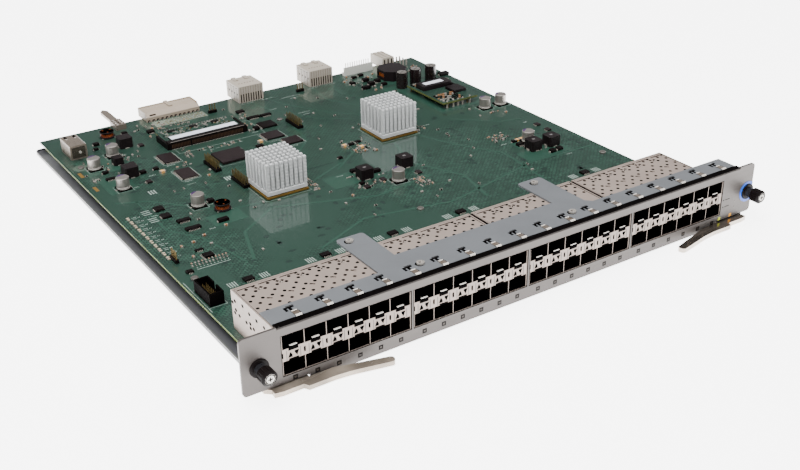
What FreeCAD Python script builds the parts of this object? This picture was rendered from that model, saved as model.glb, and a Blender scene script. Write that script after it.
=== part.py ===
import FreeCAD, Part
import math
import os

# Switch line card: a sheet tray carries a circuit board, and a front panel with four windows
# shows four cages of stacked transceiver ports.  Two ejector levers swing in front of the
# panel's lower edge, and a captive screw at each end holds the card in its chassis.
#
# X runs along the panel, to the right as seen from the front, with X = 0 on the board's
# centre line.  Y runs back from the panel, with Y = 0 at the middle of the tray.
# Z = 0 is the underside of the tray, on which the card rests.  All sizes are millimetres.

V = FreeCAD.Vector

# ---------------------------------------------------------------- driving sizes
# Tray
tray_w = 385.0
tray_d = 418.0
tray_t = 1.2
rim_h = 2.4
rim_t = 1.1
rim_corner_r = 5.0
flange_h = 6.2
flange_t = 1.2

# Circuit board on its standoffs
board_side_gap = 5.0
board_t = 1.6
board_under_z = 7.1
layout = (375.0, 415.4, 3.6)
board_front_gap = 2.0
board_rear_inset = 0.6
standoff_r = 2.8
standoff_shank_r = 2.1
standoff_screw_r = 1.3
standoff_edge_x = 10.0
standoff_front_y = 131.0
standoff_rear_y = 346.0

# Front panel
panel_t = 1.6
panel_left_reach = 20.8
panel_right_reach = 11.4
panel_mid_h = 40.1
panel_end_h = 41.4
panel_end_low = 4.3
panel_corner_r = 2.6
mid_top_from = 22.9
mid_top_to_right = 14.8

# Port cages and the windows that show them
port_gap_sum = 2.7
ports_per_cage = 6
cage_count = 4
cage_ends = 22.2
cage_wall = 0.4
cage_h = 26.5
cage_d = 62.4
cage_front_inset = 0.4
window_inset_left = 25.2
window_clear = 0.2
vent_r = 1.0
vent_row = 4.55
vent_side_step = 4.0
vent_first_y = 29.4
vent_rows = 7
channel_low = 9.3
channel_h = 7.8
channel_d = 44.0
plate_t = 0.5
plate_low = 1.0
plate_high = 6.1
plate_tab_w = 8.0
arrow_w = 2.3
arrow_h = 2.5
arrow_off = 1.6
eye_w = 1.3
eye_h = 2.6
connector_front = 48.0
mouth_w = 10.6
mouth_h = 2.2
mouth_d = 6.0
mouth_low = 3.4

# Lamp windows in the panel
lamp_side = 2.5
lamp_z = 4.3
lamp_lift = (1.7, 0.8)
end_lamp_z = 5.8
mark_side = 1.2

# Foam strip, stiffener plate and its spring fingers
gasket_base_t = 1.4
gasket_lip_d = 3.4
gasket_lip_h = 4.2
gasket_left = 26.6
stiffener_t = 1.2
stiffener_left = 26.4
stiffener_right = 6.8
stiffener_front_y = 12.2
stiffener_rear_y = 27.4
bracket_rear_y = 40.8
leg_w = 20.4
leg_rear_y = 78.2
leg_corner_r = 2.5
leg_1_left = 106.3
leg_2_left = 253.8
leg_1_screw_in = 6.8
leg_2_screw_in = 10.4
leg_screw_y = 71.8
strip_screw_x = (133.4, 255.4)
strip_screw_y = 22.2
finger_count = 18
finger_ends = 61.25
finger_first_x = 43.8
finger_w = 3.8
finger_t = 0.25
finger_slot_w = 5.0
finger_slot_d = 2.0
finger_slot_y = 24.0
post_flats = 5.5
pan_head_r = 2.6
pan_head_h = 1.3
small_screw_r = 1.5

# Ejector levers
lever_t = 3.0
lever_low_z = 0.4
lever_gap = 0.6
lever_end_x = 16.8
lever_step_x = 34.8
lever_elbow_x = 56.0
lever_tip_x = 91.8
lever_tip_y = 10.4
lever_tip_r = 2.4
lever_slim_w = 5.0
lever_wide_w = 8.2
lever_pivot_x = 23.8
lever_pivot_y = 8.6
lever_tail_x = 41.0
lever_nose_x = 13.6
lever_right_shift = 8.3
notch_to = 42.4
tray_corner_to = 44.0
tray_corner_d = 21.4
lever_pin_r = 2.0
lever_pin_clear = 0.05
pin_head_r = 3.4
pin_head_t = 1.0
bracket_t = 1.5
bracket_w = 25.5
bracket_foot_d = 5.0
bracket_gap = 0.4

# Captive screws
screw_in_left = 10.9
screw_in_right = 4.9
screw_z = 20.3
thread_r = 2.0
neck_r = 1.5
screw_bore_clear = 0.08
ferrule_r = 3.6
ferrule_tip = 6.3
bezel_r = 5.9
bezel_t = 1.2
knob_r = 4.9
knob_front = 13.4
knob_rear = 5.6
knob_bore_clear = 0.35
flute_count = 12
head_r = 3.2
head_t = 2.4
head_recess = 1.2
screw_tip = 11.0
ring_r = 3.0
ring_t = 1.0
ring_gap = 0.3
thread_gap = 0.3
marker_ring_r = 7.8
marker_ring_t = 0.3

# Finned and packaged chips
bga_side = 35.0
bga_t = 1.2
ball_gap = 0.5
lid_side = 31.0
lid_t = 0.9
sink_side = 33.6
sink_base_t = 3.3
sink_h = 25.1
fin_w = 2.4
fin_d = 2.5
fin_x_count = 9
fin_y_count = 7
sink_1 = (120.6, 224.6)
sink_2 = (250.1, 268.9)

# Other board parts: heights above the board and common sizes
can_r = 5.0
can_h = 10.0
can_base_side = 10.4
can_base_t = 1.2
tall_can_r = 5.3
tall_can_h = 15.0
package_gap = 0.2
package_t = 1.2
small_package = (4.0, 5.0)
coil_side = 11.0
coil_h = 8.5
pin_pitch = 2.54
header_pin_count = 13
header_base_h = 2.5
header_clear = 0.06
header_pin_h = 8.5
pin_side = 0.64
socket_cheek = 1.2
socket_d = 6.5
socket_h = 6.0
module_w = 67.6
module_d = 30.0
module_t = 1.0
module_rise = 3.4
brick_w = 37.4
brick_d = 57.4
brick_t = 1.6
brick_rise = 4.4
brick_pin_r = 0.6
core_w = 31.0
core_d = 13.5
core_h = 4.0
choke_side = 25.0
choke_h = 9.3
choke_window = 5.5
choke_wall = 2.4
guide_w = 13.7
guide_d = 23.5
guide_h = 12.0
guide_bore_r = 3.4
guide_bore_d = 14.0
blade_w = 6.4
blade_t = 2.4
blade_reach = 30.4
tan_w = 49.5
tan_d = 19.5
tan_h = 7.6
tan_slot_count = 12
stack_w = 24.4
stack_d = 25.0
stack_h = 15.0
stack_fin_count = 10
pin_strip_w = 32.0
pin_strip_d = 4.0
pin_strip_h = 8.0
strip_pin_count = 11
strip_pin_h = 11.6
winding_r = 4.9
drum_r = 5.6
post_r = 2.4
power_w = 13.0
power_d = 22.0
power_h = 9.6
box_header_w = 10.0
box_header_d = 23.5
box_header_h = 8.8

# ---------------------------------------------------------------- derived places
socket_w = module_w + 2 * socket_cheek
board_w = tray_w - 2 * board_side_gap
tray_left = -tray_w / 2
tray_right = tray_w / 2
tray_front = -tray_d / 2
tray_rear = tray_d / 2
face_y = tray_front - panel_t
board_left = -board_w / 2
board_right = board_w / 2
board_front = tray_front + board_front_gap
board_rear = tray_rear - board_rear_inset
board_z = board_under_z + board_t
panel_left = board_left - panel_left_reach
panel_right = board_right + panel_right_reach
cage_pitch = (board_w - cage_ends) / cage_count
port_pitch = (cage_pitch - port_gap_sum) / ports_per_cage
cage_w = port_pitch * ports_per_cage + cage_wall
cage_top = board_z + cage_h
cage_front = face_y + cage_front_inset
cage_rear = face_y + cage_d
first_cage_x = panel_left + window_inset_left + window_clear
channel_z = board_z + channel_low
lever_top = lever_low_z + lever_t
finger_pitch = (panel_right - panel_left - finger_ends) / (finger_count - 1)
pair_middle = (panel_left + panel_right + lever_right_shift) / 2


# ---------------------------------------------------------------- helpers
def save(name, solids):
    """Write one node as parts/NAME.step."""
    if not isinstance(solids, list):
        solids = [solids]
    shape = solids[0] if len(solids) == 1 else Part.makeCompound(solids)
    shape.exportStep("parts/" + name + ".step")


def block(x0, x1, y0, y1, z0, z1):
    return Part.makeBox(x1 - x0, y1 - y0, z1 - z0, V(x0, y0, z0))


def centred(x, y, w, d, z0, z1):
    """A block of w by d about a point on the board."""
    return block(x - w / 2, x + w / 2, y - d / 2, y + d / 2, z0, z1)


def disc(x, y, r, z0, z1):
    return Part.makeCylinder(r, z1 - z0, V(x, y, z0), V(0, 0, 1))


def rod_y(x, z, r, y0, y1):
    return Part.makeCylinder(r, y1 - y0, V(x, y0, z), V(0, 1, 0))


def wire_of(points):
    return Part.makePolygon(points + [points[0]])


def slab(points, z0, z1):
    """A flat plate from an outline in plan."""
    return Part.Face(wire_of([V(x, y, z0) for x, y in points])).extrude(V(0, 0, z1 - z0))


def profile_x(points, x0, x1):
    """A bar of constant section along X, from its outline as (y, z) points."""
    return Part.Face(wire_of([V(x0, y, z) for y, z in points])).extrude(V(x1 - x0, 0, 0))


def profile_y(points, y0, y1):
    """A bar of constant section along Y, from its outline as (x, z) points."""
    return Part.Face(wire_of([V(x, y0, z) for x, z in points])).extrude(V(0, y1 - y0, 0))


def ngon(x, y, r, sides, turn=0.0):
    step = 2 * math.pi / sides
    return [(x + r * math.cos(turn + i * step), y + r * math.sin(turn + i * step)) for i in range(sides)]


def upright_edges(shape, picked):
    """The vertical edges whose middle passes the test."""
    found = []
    for edge in shape.Edges:
        a = edge.Vertexes[0].Point
        b = edge.Vertexes[-1].Point
        if abs(a.x - b.x) < 1e-6 and abs(a.y - b.y) < 1e-6 and picked(a.x, a.y):
            found.append(edge)
    return found


def turned(points, centre_x, centre_y, base_z):
    """A solid of revolution about a vertical axis, from (radius, height) points."""
    section = [V(centre_x + r, centre_y, base_z + h) for r, h in points]
    return Part.Face(wire_of(section)).revolve(V(centre_x, centre_y, 0), V(0, 0, 1), 360)


def turned_y(points, x, z):
    """A solid of revolution about an axis along Y, from (radius, y) points."""
    section = [V(x + r, y, z) for r, y in points]
    return Part.Face(wire_of(section)).revolve(V(x, 0, z), V(0, 1, 0), 360)


def mirrored(shape):
    """The right-hand copy of a left-hand lever part."""
    return shape.mirror(V(pair_middle, 0, 0), V(1, 0, 0))


def on_board(dx, dy):
    """A place in the board's layout, from its left edge and the panel's front face."""
    wide, deep, front = layout
    across = dx * board_w / wide
    back = (dy - front) * (board_rear - board_front) / deep
    return board_left + across, board_front + back


def from_right(dx, dy):
    """A place given from the board's right edge and the panel's front face."""
    return on_board(layout[0] - dx, dy)


# ---------------------------------------------------------------- tray and what stands on it
def rounded_tray_outline(inset):
    """The tray in plan, square in front and rounded at the two rear corners."""
    r = rim_corner_r - inset
    x0 = tray_left + inset
    x1 = tray_right - inset
    y1 = tray_rear - inset
    plate = block(x0, x1, tray_front, y1, 0, rim_h)
    rear = upright_edges(plate, lambda x, y: y > y1 - 1)
    return plate.makeFillet(r, rear)


def standoff_places():
    rows = (on_board(0, standoff_front_y)[1], on_board(0, standoff_rear_y)[1])
    columns = (board_left + standoff_edge_x, 0, board_right - standoff_edge_x)
    return [(x, y) for x in columns for y in rows]


def make_tray():
    pan = rounded_tray_outline(0)
    hollow = rounded_tray_outline(rim_t)
    hollow.translate(V(0, 0, tray_t))
    pan = pan.cut(hollow)
    pan = pan.cut(block(tray_left, tray_right, tray_front, tray_front + flange_t, tray_t, flange_h))
    corner = block(tray_left - 9, panel_left + tray_corner_to, tray_front - 1, face_y + tray_corner_d, -1, flange_h)
    flange = block(tray_left, tray_right, tray_front, tray_front + flange_t, 0, flange_h)
    pan = pan.fuse(flange).removeSplitter()
    cuts = [corner, mirrored(corner)]
    for x, y in standoff_places():
        cuts.append(disc(x, y, standoff_shank_r, -1, flange_h))
    return pan.cut(Part.makeCompound(cuts))


def make_standoffs():
    made = []
    for x, y in standoff_places():
        post = disc(x, y, standoff_r, tray_t, board_under_z)
        post = post.fuse(disc(x, y, standoff_shank_r, 0, tray_t))
        made.append(post.cut(disc(x, y, standoff_screw_r, tray_t, board_under_z)))
    return made


def make_board_screws():
    """Button-head screws that hold the board down on its standoffs."""
    made = []
    for x, y in standoff_places():
        head = disc(x, y, pan_head_r, board_z, board_z + pan_head_h)
        head = head.makeChamfer(0.5, [head.Edges[0]])
        made.append(head.fuse(disc(x, y, standoff_screw_r, tray_t + 1, board_z)))
    return made


def make_board():
    board = block(board_left, board_right, board_front, board_rear, board_under_z, board_z)
    cuts = [disc(x, y, standoff_screw_r, 0, board_z + 1) for x, y in standoff_places()]
    return board.cut(Part.makeCompound(cuts))


# ---------------------------------------------------------------- front panel
def cage_left(index):
    return first_cage_x + index * cage_pitch


def column_x(cage, column):
    """The middle of one column of ports."""
    return cage_left(cage) + cage_wall / 2 + (column + 0.5) * port_pitch


def lamp_places():
    """The lamp windows under the ports and beside them, as (x, z, side)."""
    lamps = []
    for cage in range(cage_count):
        for column in range(ports_per_cage):
            lamps.append((column_x(cage, column), lamp_z, lamp_side))
    for column, lift in enumerate(lamp_lift):
        lamps[column] = (column_x(0, column), lamp_z + lift, lamp_side)
    lamps.append((panel_right - 31.2, end_lamp_z, lamp_side))
    lamps.append((panel_right - 20.0, end_lamp_z, lamp_side))
    lamps.append((panel_right - 17.2, 16.4, mark_side))
    lamps.append((panel_right - 17.2, 11.8, mark_side))
    return lamps


def screw_centres():
    return {"left": panel_left + screw_in_left, "right": panel_right - screw_in_right}


def make_panel():
    notch_right = 2 * pair_middle - (panel_left + notch_to)
    step_left = panel_left + mid_top_from
    step_right = panel_right - mid_top_to_right
    outline = [
        (panel_left, panel_end_low), (panel_left + notch_to, panel_end_low),
        (panel_left + notch_to, 0), (notch_right, 0),
        (notch_right, panel_end_low), (panel_right, panel_end_low),
        (panel_right, panel_end_h), (step_right, panel_end_h),
        (step_right, panel_mid_h), (step_left, panel_mid_h),
        (step_left, panel_end_h), (panel_left, panel_end_h),
    ]
    plate = profile_y(outline, face_y, tray_front)
    ends = []
    for edge in plate.Edges:
        a = edge.Vertexes[0].Point
        b = edge.Vertexes[-1].Point
        at_end = min(abs(a.x - panel_left), abs(a.x - panel_right)) < 1e-6
        if at_end and abs(a.x - b.x) < 1e-6 and abs(a.z - b.z) < 1e-6:
            ends.append(edge)
    plate = plate.makeFillet(panel_corner_r, ends)
    cuts = []
    for cage in range(cage_count):
        x0 = cage_left(cage) - window_clear
        x1 = cage_left(cage) + cage_w + window_clear
        cuts.append(block(x0, x1, face_y - 1, tray_front + 1, board_z - window_clear, cage_top + window_clear))
    for x, z, side in lamp_places():
        half = side / 2
        cuts.append(block(x - half, x + half, face_y - 1, tray_front + 1, z - half, z + half))
    for x in screw_centres().values():
        cuts.append(rod_y(x, screw_z, ferrule_r, face_y - 1, tray_front + 1))
    return plate.cut(Part.makeCompound(cuts))


def make_lamps():
    made = []
    for x, z, side in lamp_places():
        half = side / 2
        made.append(block(x - half, x + half, face_y, tray_front, z - half, z + half))
    return made


# ---------------------------------------------------------------- port cages
def make_cage_tub(cage):
    """Floor, two sides and rear wall, folded from one sheet and open to the front."""
    x0 = cage_left(cage)
    x1 = x0 + cage_w
    top = cage_top - cage_wall
    outer = block(x0, x1, cage_front, cage_rear, board_z, top)
    inner = block(x0 + cage_wall, x1 - cage_wall, cage_front - 1, cage_rear - cage_wall, board_z + cage_wall, top + 1)
    return outer.cut(inner)


def make_cage_cover(cage):
    """The top sheet with its staggered vent holes where the stiffener leaves it bare."""
    x0 = cage_left(cage)
    sheet = block(x0, x0 + cage_w, cage_front, cage_rear, cage_top - cage_wall, cage_top)
    bare_from = face_y + (stiffener_rear_y if cage in (0, cage_count - 1) else bracket_rear_y)
    cuts = []
    for column in range(ports_per_cage):
        x = column_x(cage, column)
        for row in range(vent_rows):
            y = face_y + vent_first_y + row * vent_row
            if y - vent_r < bare_from:
                continue
            offsets = (0,) if row % 2 == 0 else (-vent_side_step, vent_side_step)
            for dx in offsets:
                cuts.append(disc(x + dx, y, vent_r, cage_top - 1, cage_top + 1))
    return sheet.cut(Part.makeCompound(cuts))


def make_dividers():
    """The sheets between neighbouring ports, slotted to pass over the centre channel."""
    made = []
    rear = face_y + connector_front
    front = cage_front + plate_t
    low = board_z + cage_wall
    high = cage_top - cage_wall
    slot = cage_front + channel_d
    outline = [
        (front, low), (rear, low), (rear, high), (front, high),
        (front, channel_z + channel_h), (slot, channel_z + channel_h), (slot, channel_z), (front, channel_z),
    ]
    for cage in range(cage_count):
        for line in range(1, ports_per_cage):
            x = cage_left(cage) + line * port_pitch
            made.append(profile_x(outline, x, x + cage_wall))
    return made


def channel_front(cage):
    """The front of a centre channel: a tab over each divider and lower plates between them."""
    x0 = cage_left(cage) + cage_wall
    x1 = cage_left(cage) + cage_w - cage_wall
    y0 = cage_front
    y1 = cage_front + plate_t
    tabs = []
    for line in range(ports_per_cage + 1):
        x = cage_left(cage) + line * port_pitch + cage_wall / 2
        left = max(x0, x - plate_tab_w / 2)
        right = min(x1, x + plate_tab_w / 2)
        tabs.append(block(left, right, y0, y1, channel_z, channel_z + channel_h))
    return block(x0, x1, y0, y1, channel_z + plate_low, channel_z + plate_high).fuse(tabs)


def make_channel(cage):
    """Folded sheet between the upper and lower ports, with arrows and eyes cut in its front."""
    x0 = cage_left(cage) + cage_wall
    x1 = cage_left(cage) + cage_w - cage_wall
    y0 = cage_front
    y1 = cage_front + channel_d
    z0 = channel_z
    z1 = channel_z + channel_h
    skin = cage_wall
    tunnel = block(x0, x1, y0, y1, z0, z1)
    tunnel = tunnel.cut(block(x0, x1, y0, y1 - skin, z0 + skin, z1 - skin))
    cuts = []
    middle = z0 + (plate_low + plate_high) / 2
    for column in range(ports_per_cage):
        x = column_x(cage, column)
        up = [(-arrow_w / 2, -arrow_h / 2), (arrow_w / 2, -arrow_h / 2), (0, arrow_h / 2)]
        down = [(-arrow_w / 2, arrow_h / 2), (0, -arrow_h / 2), (arrow_w / 2, arrow_h / 2)]
        for shape, dx in ((up, -arrow_off), (down, arrow_off)):
            points = [(x + dx + px, middle + pz) for px, pz in shape]
            cuts.append(profile_y(points, y0 - 1, y0 + plate_t))
    for line in range(1, ports_per_cage):
        x = cage_left(cage) + line * port_pitch + cage_wall / 2
        eye_z = z0 + channel_h / 2
        cuts.append(block(x - eye_w / 2, x + eye_w / 2, y0 - 1, y0 + plate_t, eye_z - eye_h / 2, eye_z + eye_h / 2))
    front = channel_front(cage).cut(Part.makeCompound(cuts))
    return tunnel.fuse(front).removeSplitter()


def make_connectors():
    """The moulded receptacle behind each cage's ports, with two mouths to a column."""
    made = []
    front = face_y + connector_front
    for cage in range(cage_count):
        x0 = cage_left(cage) + cage_wall
        x1 = cage_left(cage) + cage_w - cage_wall
        body = block(x0, x1, front, cage_rear - cage_wall, board_z + cage_wall, cage_top - cage_wall)
        cuts = []
        for column in range(ports_per_cage):
            x = column_x(cage, column)
            for base in (board_z + cage_wall, channel_z + channel_h):
                low = base + mouth_low
                cuts.append(block(x - mouth_w / 2, x + mouth_w / 2, front - 1, front + mouth_d, low, low + mouth_h))
        made.append(body.cut(Part.makeCompound(cuts)))
    return made


# ---------------------------------------------------------------- stiffener over the cages
def strip_screw_places():
    return [(panel_left + x, face_y + strip_screw_y) for x in strip_screw_x]


def leg_screw_places():
    y = face_y + leg_screw_y
    return [(panel_left + leg_1_left + leg_1_screw_in, y), (panel_left + leg_2_left + leg_2_screw_in, y)]


def finger_places():
    return [panel_left + finger_first_x + i * finger_pitch for i in range(finger_count)]


def make_stiffener():
    left = panel_left + stiffener_left
    right = panel_right - stiffener_right
    front = face_y + stiffener_front_y
    rear = face_y + stiffener_rear_y
    wide = face_y + bracket_rear_y
    tip = face_y + leg_rear_y
    a = panel_left + leg_1_left
    b = panel_left + leg_2_left
    outline = [
        (left, front), (right, front), (right, rear), (b + leg_w + 4, rear),
        (b + leg_w, rear + 4), (b + leg_w, tip), (b, tip), (b, wide),
        (a + leg_w, wide), (a + leg_w, tip), (a, tip), (a, rear), (left, rear),
    ]
    plate = slab(outline, cage_top, cage_top + stiffener_t)
    plate = plate.makeFillet(leg_corner_r, upright_edges(plate, lambda x, y: y > tip - 1e-6))
    cuts = []
    for x in finger_places():
        y = face_y + finger_slot_y
        cuts.append(centred(x, y, finger_slot_w, finger_slot_d, cage_top - 1, cage_top + 3))
    for x, y in strip_screw_places() + leg_screw_places():
        cuts.append(disc(x, y, small_screw_r, cage_top - 1, cage_top + 3))
    return plate.cut(Part.makeCompound(cuts))


def make_fingers():
    """Spring fingers: each hooks in its slot, rises over the plate and turns down in front."""
    front = face_y + stiffener_front_y
    hook = face_y + finger_slot_y - 0.4
    top = cage_top + stiffener_t
    low = cage_top + 0.2
    outer = [
        (hook + finger_t, low), (hook + finger_t, top + 0.7), (hook - 1.6, top + 1.3),
        (hook - 3.4, top + finger_t), (front - 0.1, top + finger_t),
        (front - 0.5, top + 0.1), (front - 0.3, low),
    ]
    inner = [
        (front - 0.05, low), (front - 0.05, top), (hook - 3.5, top), (hook - 1.6, top + 1.0),
        (hook, top + 0.5), (hook, low),
    ]
    return [profile_x(outer + inner, x - finger_w / 2, x + finger_w / 2) for x in finger_places()]


def make_stiffener_screws():
    made = []
    top = cage_top + stiffener_t
    for x, y in strip_screw_places():
        made.append(disc(x, y, pan_head_r, top, top + pan_head_h).fuse(disc(x, y, small_screw_r, cage_top, top)))
    for x, y in leg_screw_places():
        made.append(disc(x, y, pan_head_r, top, top + pan_head_h).fuse(disc(x, y, small_screw_r, cage_top - 5, top)))
    return made


def make_posts():
    """Hexagonal posts on the board that carry the stiffener's two legs."""
    made = []
    across_corners = post_flats / math.sqrt(3)
    for x, y in leg_screw_places():
        post = slab(ngon(x, y, across_corners, 6), board_z, cage_top)
        made.append(post.cut(disc(x, y, small_screw_r, cage_top - 5, cage_top + 1)))
    return made


def make_gasket():
    """Foam strip behind the panel's upper edge, with a raised lip against the panel."""
    x0 = panel_left + gasket_left
    x1 = panel_right - stiffener_right + 1
    low = cage_top
    y0 = tray_front
    y1 = face_y + stiffener_front_y - 0.6
    lip = y0 + gasket_lip_d
    outline = [
        (y0, low), (y1, low), (y1, low + gasket_base_t), (lip, low + gasket_base_t),
        (lip, low + gasket_lip_h - 0.6), (lip - 0.6, low + gasket_lip_h), (y0, low + gasket_lip_h),
    ]
    return profile_x(outline, x0, x1)


# ---------------------------------------------------------------- ejector levers
def lever_outline():
    """The left lever in plan: nose, pivot tail, stepped root and the handle bent outwards."""
    px = panel_left
    back = face_y - lever_gap
    slim = back - lever_slim_w
    wide = back - lever_wide_w
    tip_y = face_y - lever_tip_y
    return [
        (px + lever_end_x, slim + 1.0), (px + lever_end_x + 5, slim), (px + lever_step_x, slim),
        (px + lever_step_x + 1.8, wide), (px + lever_elbow_x - 1.6, wide), (px + lever_elbow_x + 8.5, wide - 1.2),
        (px + lever_tip_x - 1.8, tip_y - 5.2), (px + lever_tip_x, tip_y), (px + lever_elbow_x, back),
        (px + lever_tail_x, back), (px + lever_tail_x, back + 4.6),
        (px + lever_pivot_x + 6.7, face_y + lever_pivot_y + 4.9), (px + lever_pivot_x - 3.8, face_y + lever_pivot_y + 5.4),
        (px + lever_nose_x, face_y + lever_pivot_y - 0.6), (px + lever_nose_x, face_y + 2.6),
        (px + lever_end_x + 0.4, back),
    ]


def make_lever():
    plate = slab(lever_outline(), lever_low_z, lever_top)
    tip = panel_left + lever_tip_x
    plate = plate.makeFillet(lever_tip_r, upright_edges(plate, lambda x, y: x > tip - 3))
    x = panel_left + lever_pivot_x
    y = face_y + lever_pivot_y
    plate = plate.cut(disc(x, y, lever_pin_r + lever_pin_clear, lever_low_z - 1, lever_top + 1))
    recess = lever_low_z + pin_head_t + bracket_gap
    return plate.cut(disc(x, y, pin_head_r + 0.3, lever_low_z - 1, recess))


def make_lever_pin():
    x = panel_left + lever_pivot_x
    y = face_y + lever_pivot_y
    low = lever_low_z + 0.1
    shank = disc(x, y, lever_pin_r, low, lever_top + bracket_gap + bracket_t)
    return shank.fuse(disc(x, y, pin_head_r, low, low + pin_head_t))


def make_lever_bracket():
    """Stepped plate over the lever's tail, with its foot on the tray floor."""
    x0 = tray_left + rim_t + 0.5
    x1 = x0 + bracket_w
    y0 = tray_front + 0.6
    y1 = face_y + tray_corner_d + bracket_foot_d
    low = lever_top + bracket_gap
    high = low + bracket_t
    outline = [
        (y0, low), (y1 - bracket_foot_d + 0.4, low), (y1 - bracket_foot_d + 0.4, tray_t),
        (y1, tray_t), (y1, high), (y0, high),
    ]
    plate = profile_x(outline, x0, x1)
    x = panel_left + lever_pivot_x
    return plate.cut(disc(x, face_y + lever_pivot_y, lever_pin_r, 0, high + 1))


# ---------------------------------------------------------------- captive screws
def make_bezel(x):
    ring = rod_y(x, screw_z, bezel_r, face_y - bezel_t, face_y)
    ring = ring.makeChamfer(0.4, [ring.Edges[2]])
    return ring.cut(rod_y(x, screw_z, ferrule_r, face_y - bezel_t - 1, face_y + 1))


def make_ferrule(x):
    tube = rod_y(x, screw_z, ferrule_r, face_y - ferrule_tip, tray_front)
    return tube.cut(rod_y(x, screw_z, neck_r + screw_bore_clear, face_y - ferrule_tip - 1, tray_front + 1))


def make_screw(x):
    """Cross-recessed head in the knob's nose, a thin neck and a thicker end for the thread."""
    front = face_y - knob_front
    neck = front + head_t
    shoulder = tray_front + ring_gap + ring_t + thread_gap
    tip = face_y + screw_tip
    body = turned_y([
        (0, front), (head_r, front), (head_r, neck), (neck_r, neck), (neck_r, shoulder),
        (thread_r, shoulder), (thread_r, tip - 0.7), (thread_r - 0.7, tip), (0, tip),
    ], x, screw_z)
    slot = block(x - 1.9, x + 1.9, front - 1, front + head_recess, screw_z - 0.4, screw_z + 0.4)
    cross = block(x - 0.4, x + 0.4, front - 1, front + head_recess, screw_z - 1.9, screw_z + 1.9)
    return body.cut(slot.fuse(cross))


def make_knob(x):
    """Fluted grip, hollow at the back so that it slides over the ferrule."""
    front = face_y - knob_front
    rear = face_y - knob_rear
    grip = turned_y([
        (0, front), (knob_r - 1.1, front), (knob_r, front + 1.1),
        (knob_r, rear - 0.7), (knob_r - 0.7, rear), (0, rear),
    ], x, screw_z)
    cuts = [rod_y(x, screw_z, head_r, front - 1, front + head_t)]
    cuts.append(rod_y(x, screw_z, neck_r, front - 1, rear + 1))
    cuts.append(rod_y(x, screw_z, ferrule_r + knob_bore_clear, rear - 5.0, rear + 1))
    for i in range(flute_count):
        turn = 2 * math.pi * i / flute_count
        fx = x + (knob_r + 0.25) * math.cos(turn)
        fz = screw_z + (knob_r + 0.25) * math.sin(turn)
        cuts.append(rod_y(fx, fz, 0.6, front + 1.6, rear - 1.0))
    return grip.cut(Part.makeCompound(cuts))


def make_retaining_ring(x):
    y0 = tray_front + ring_gap
    ring = rod_y(x, screw_z, ring_r, y0, y0 + ring_t)
    return ring.cut(rod_y(x, screw_z, neck_r + screw_bore_clear, y0 - 1, y0 + ring_t + 1))


def make_marker_ring(x):
    """Flat coloured ring round the right-hand screw, trimmed at the panel's end."""
    ring = rod_y(x, screw_z, marker_ring_r, face_y - marker_ring_t, face_y)
    ring = ring.cut(rod_y(x, screw_z, bezel_r, face_y - 1, face_y + 1))
    return ring.cut(block(panel_right, panel_right + 20, face_y - 1, face_y + 1, 0, 60))


# ---------------------------------------------------------------- finned and packaged chips
def make_bga_substrates():
    made = []
    for x, y in (on_board(*sink_1), on_board(*sink_2)):
        made.append(centred(x, y, bga_side, bga_side, board_z + ball_gap, board_z + ball_gap + bga_t))
        made.append(centred(x, y, bga_side - 3, bga_side - 3, board_z, board_z + ball_gap))
    return [made[0].fuse(made[1]), made[2].fuse(made[3])]


def make_bga_lids():
    low = board_z + ball_gap + bga_t
    return [centred(x, y, lid_side, lid_side, low, low + lid_t) for x, y in (on_board(*sink_1), on_board(*sink_2))]


def make_heat_sink(place):
    """Cast pin-fin sink: a square base with a grid of square pins, all one piece."""
    x, y = on_board(*place)
    low = board_z + ball_gap + bga_t + lid_t
    base = centred(x, y, sink_side, sink_side, low, low + sink_base_t)
    step_x = (sink_side - fin_w) / (fin_x_count - 1)
    step_y = (sink_side - fin_d) / (fin_y_count - 1)
    pins = []
    for i in range(fin_x_count):
        for j in range(fin_y_count):
            px = x - (sink_side - fin_w) / 2 + i * step_x
            py = y - (sink_side - fin_d) / 2 + j * step_y
            pins.append(centred(px, py, fin_w, fin_d, low + sink_base_t, low + sink_h))
    return base.fuse(pins).removeSplitter()


def package(x, y, w, d, gap=package_gap, t=package_t):
    """A moulded package whose underside is closed down to the board by its leads' span."""
    body = centred(x, y, w, d, board_z + gap, board_z + gap + t)
    return body.fuse(centred(x, y, w - 1.6, d - 1.6, board_z, board_z + gap))


def make_bare_chip():
    x, y = on_board(117.1, 297.0)
    return package(x, y, 25.0, 23.0, ball_gap, 1.8)


def make_leaded_chips():
    places = (
        (73.8, 323.0, 12.5, 18.4), (73.4, 287.0, 12.5, 18.4),
        (165.2, 317.2, 16.0, 14.0), (173.7, 298.2, 14.0, 13.0),
    )
    made = []
    for dx, dy, w, d in places:
        x, y = on_board(dx, dy)
        made.append(package(x, y, w, d))
    return made


def make_small_chips():
    places = [
        on_board(31.1, 240.0), on_board(30.7, 226.4), on_board(38.3, 212.2), on_board(38.9, 197.2),
        on_board(30.6, 154.4), on_board(66.3, 361.4), on_board(43.9, 289.4), on_board(46.1, 329.5),
        on_board(192.4, 188.5), on_board(175.3, 184.3), on_board(222.5, 184.2),
        from_right(14.6, 207.0), from_right(14.5, 193.1),
    ]
    w, d = small_package
    return [package(x, y, w, d) for x, y in places]


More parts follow.
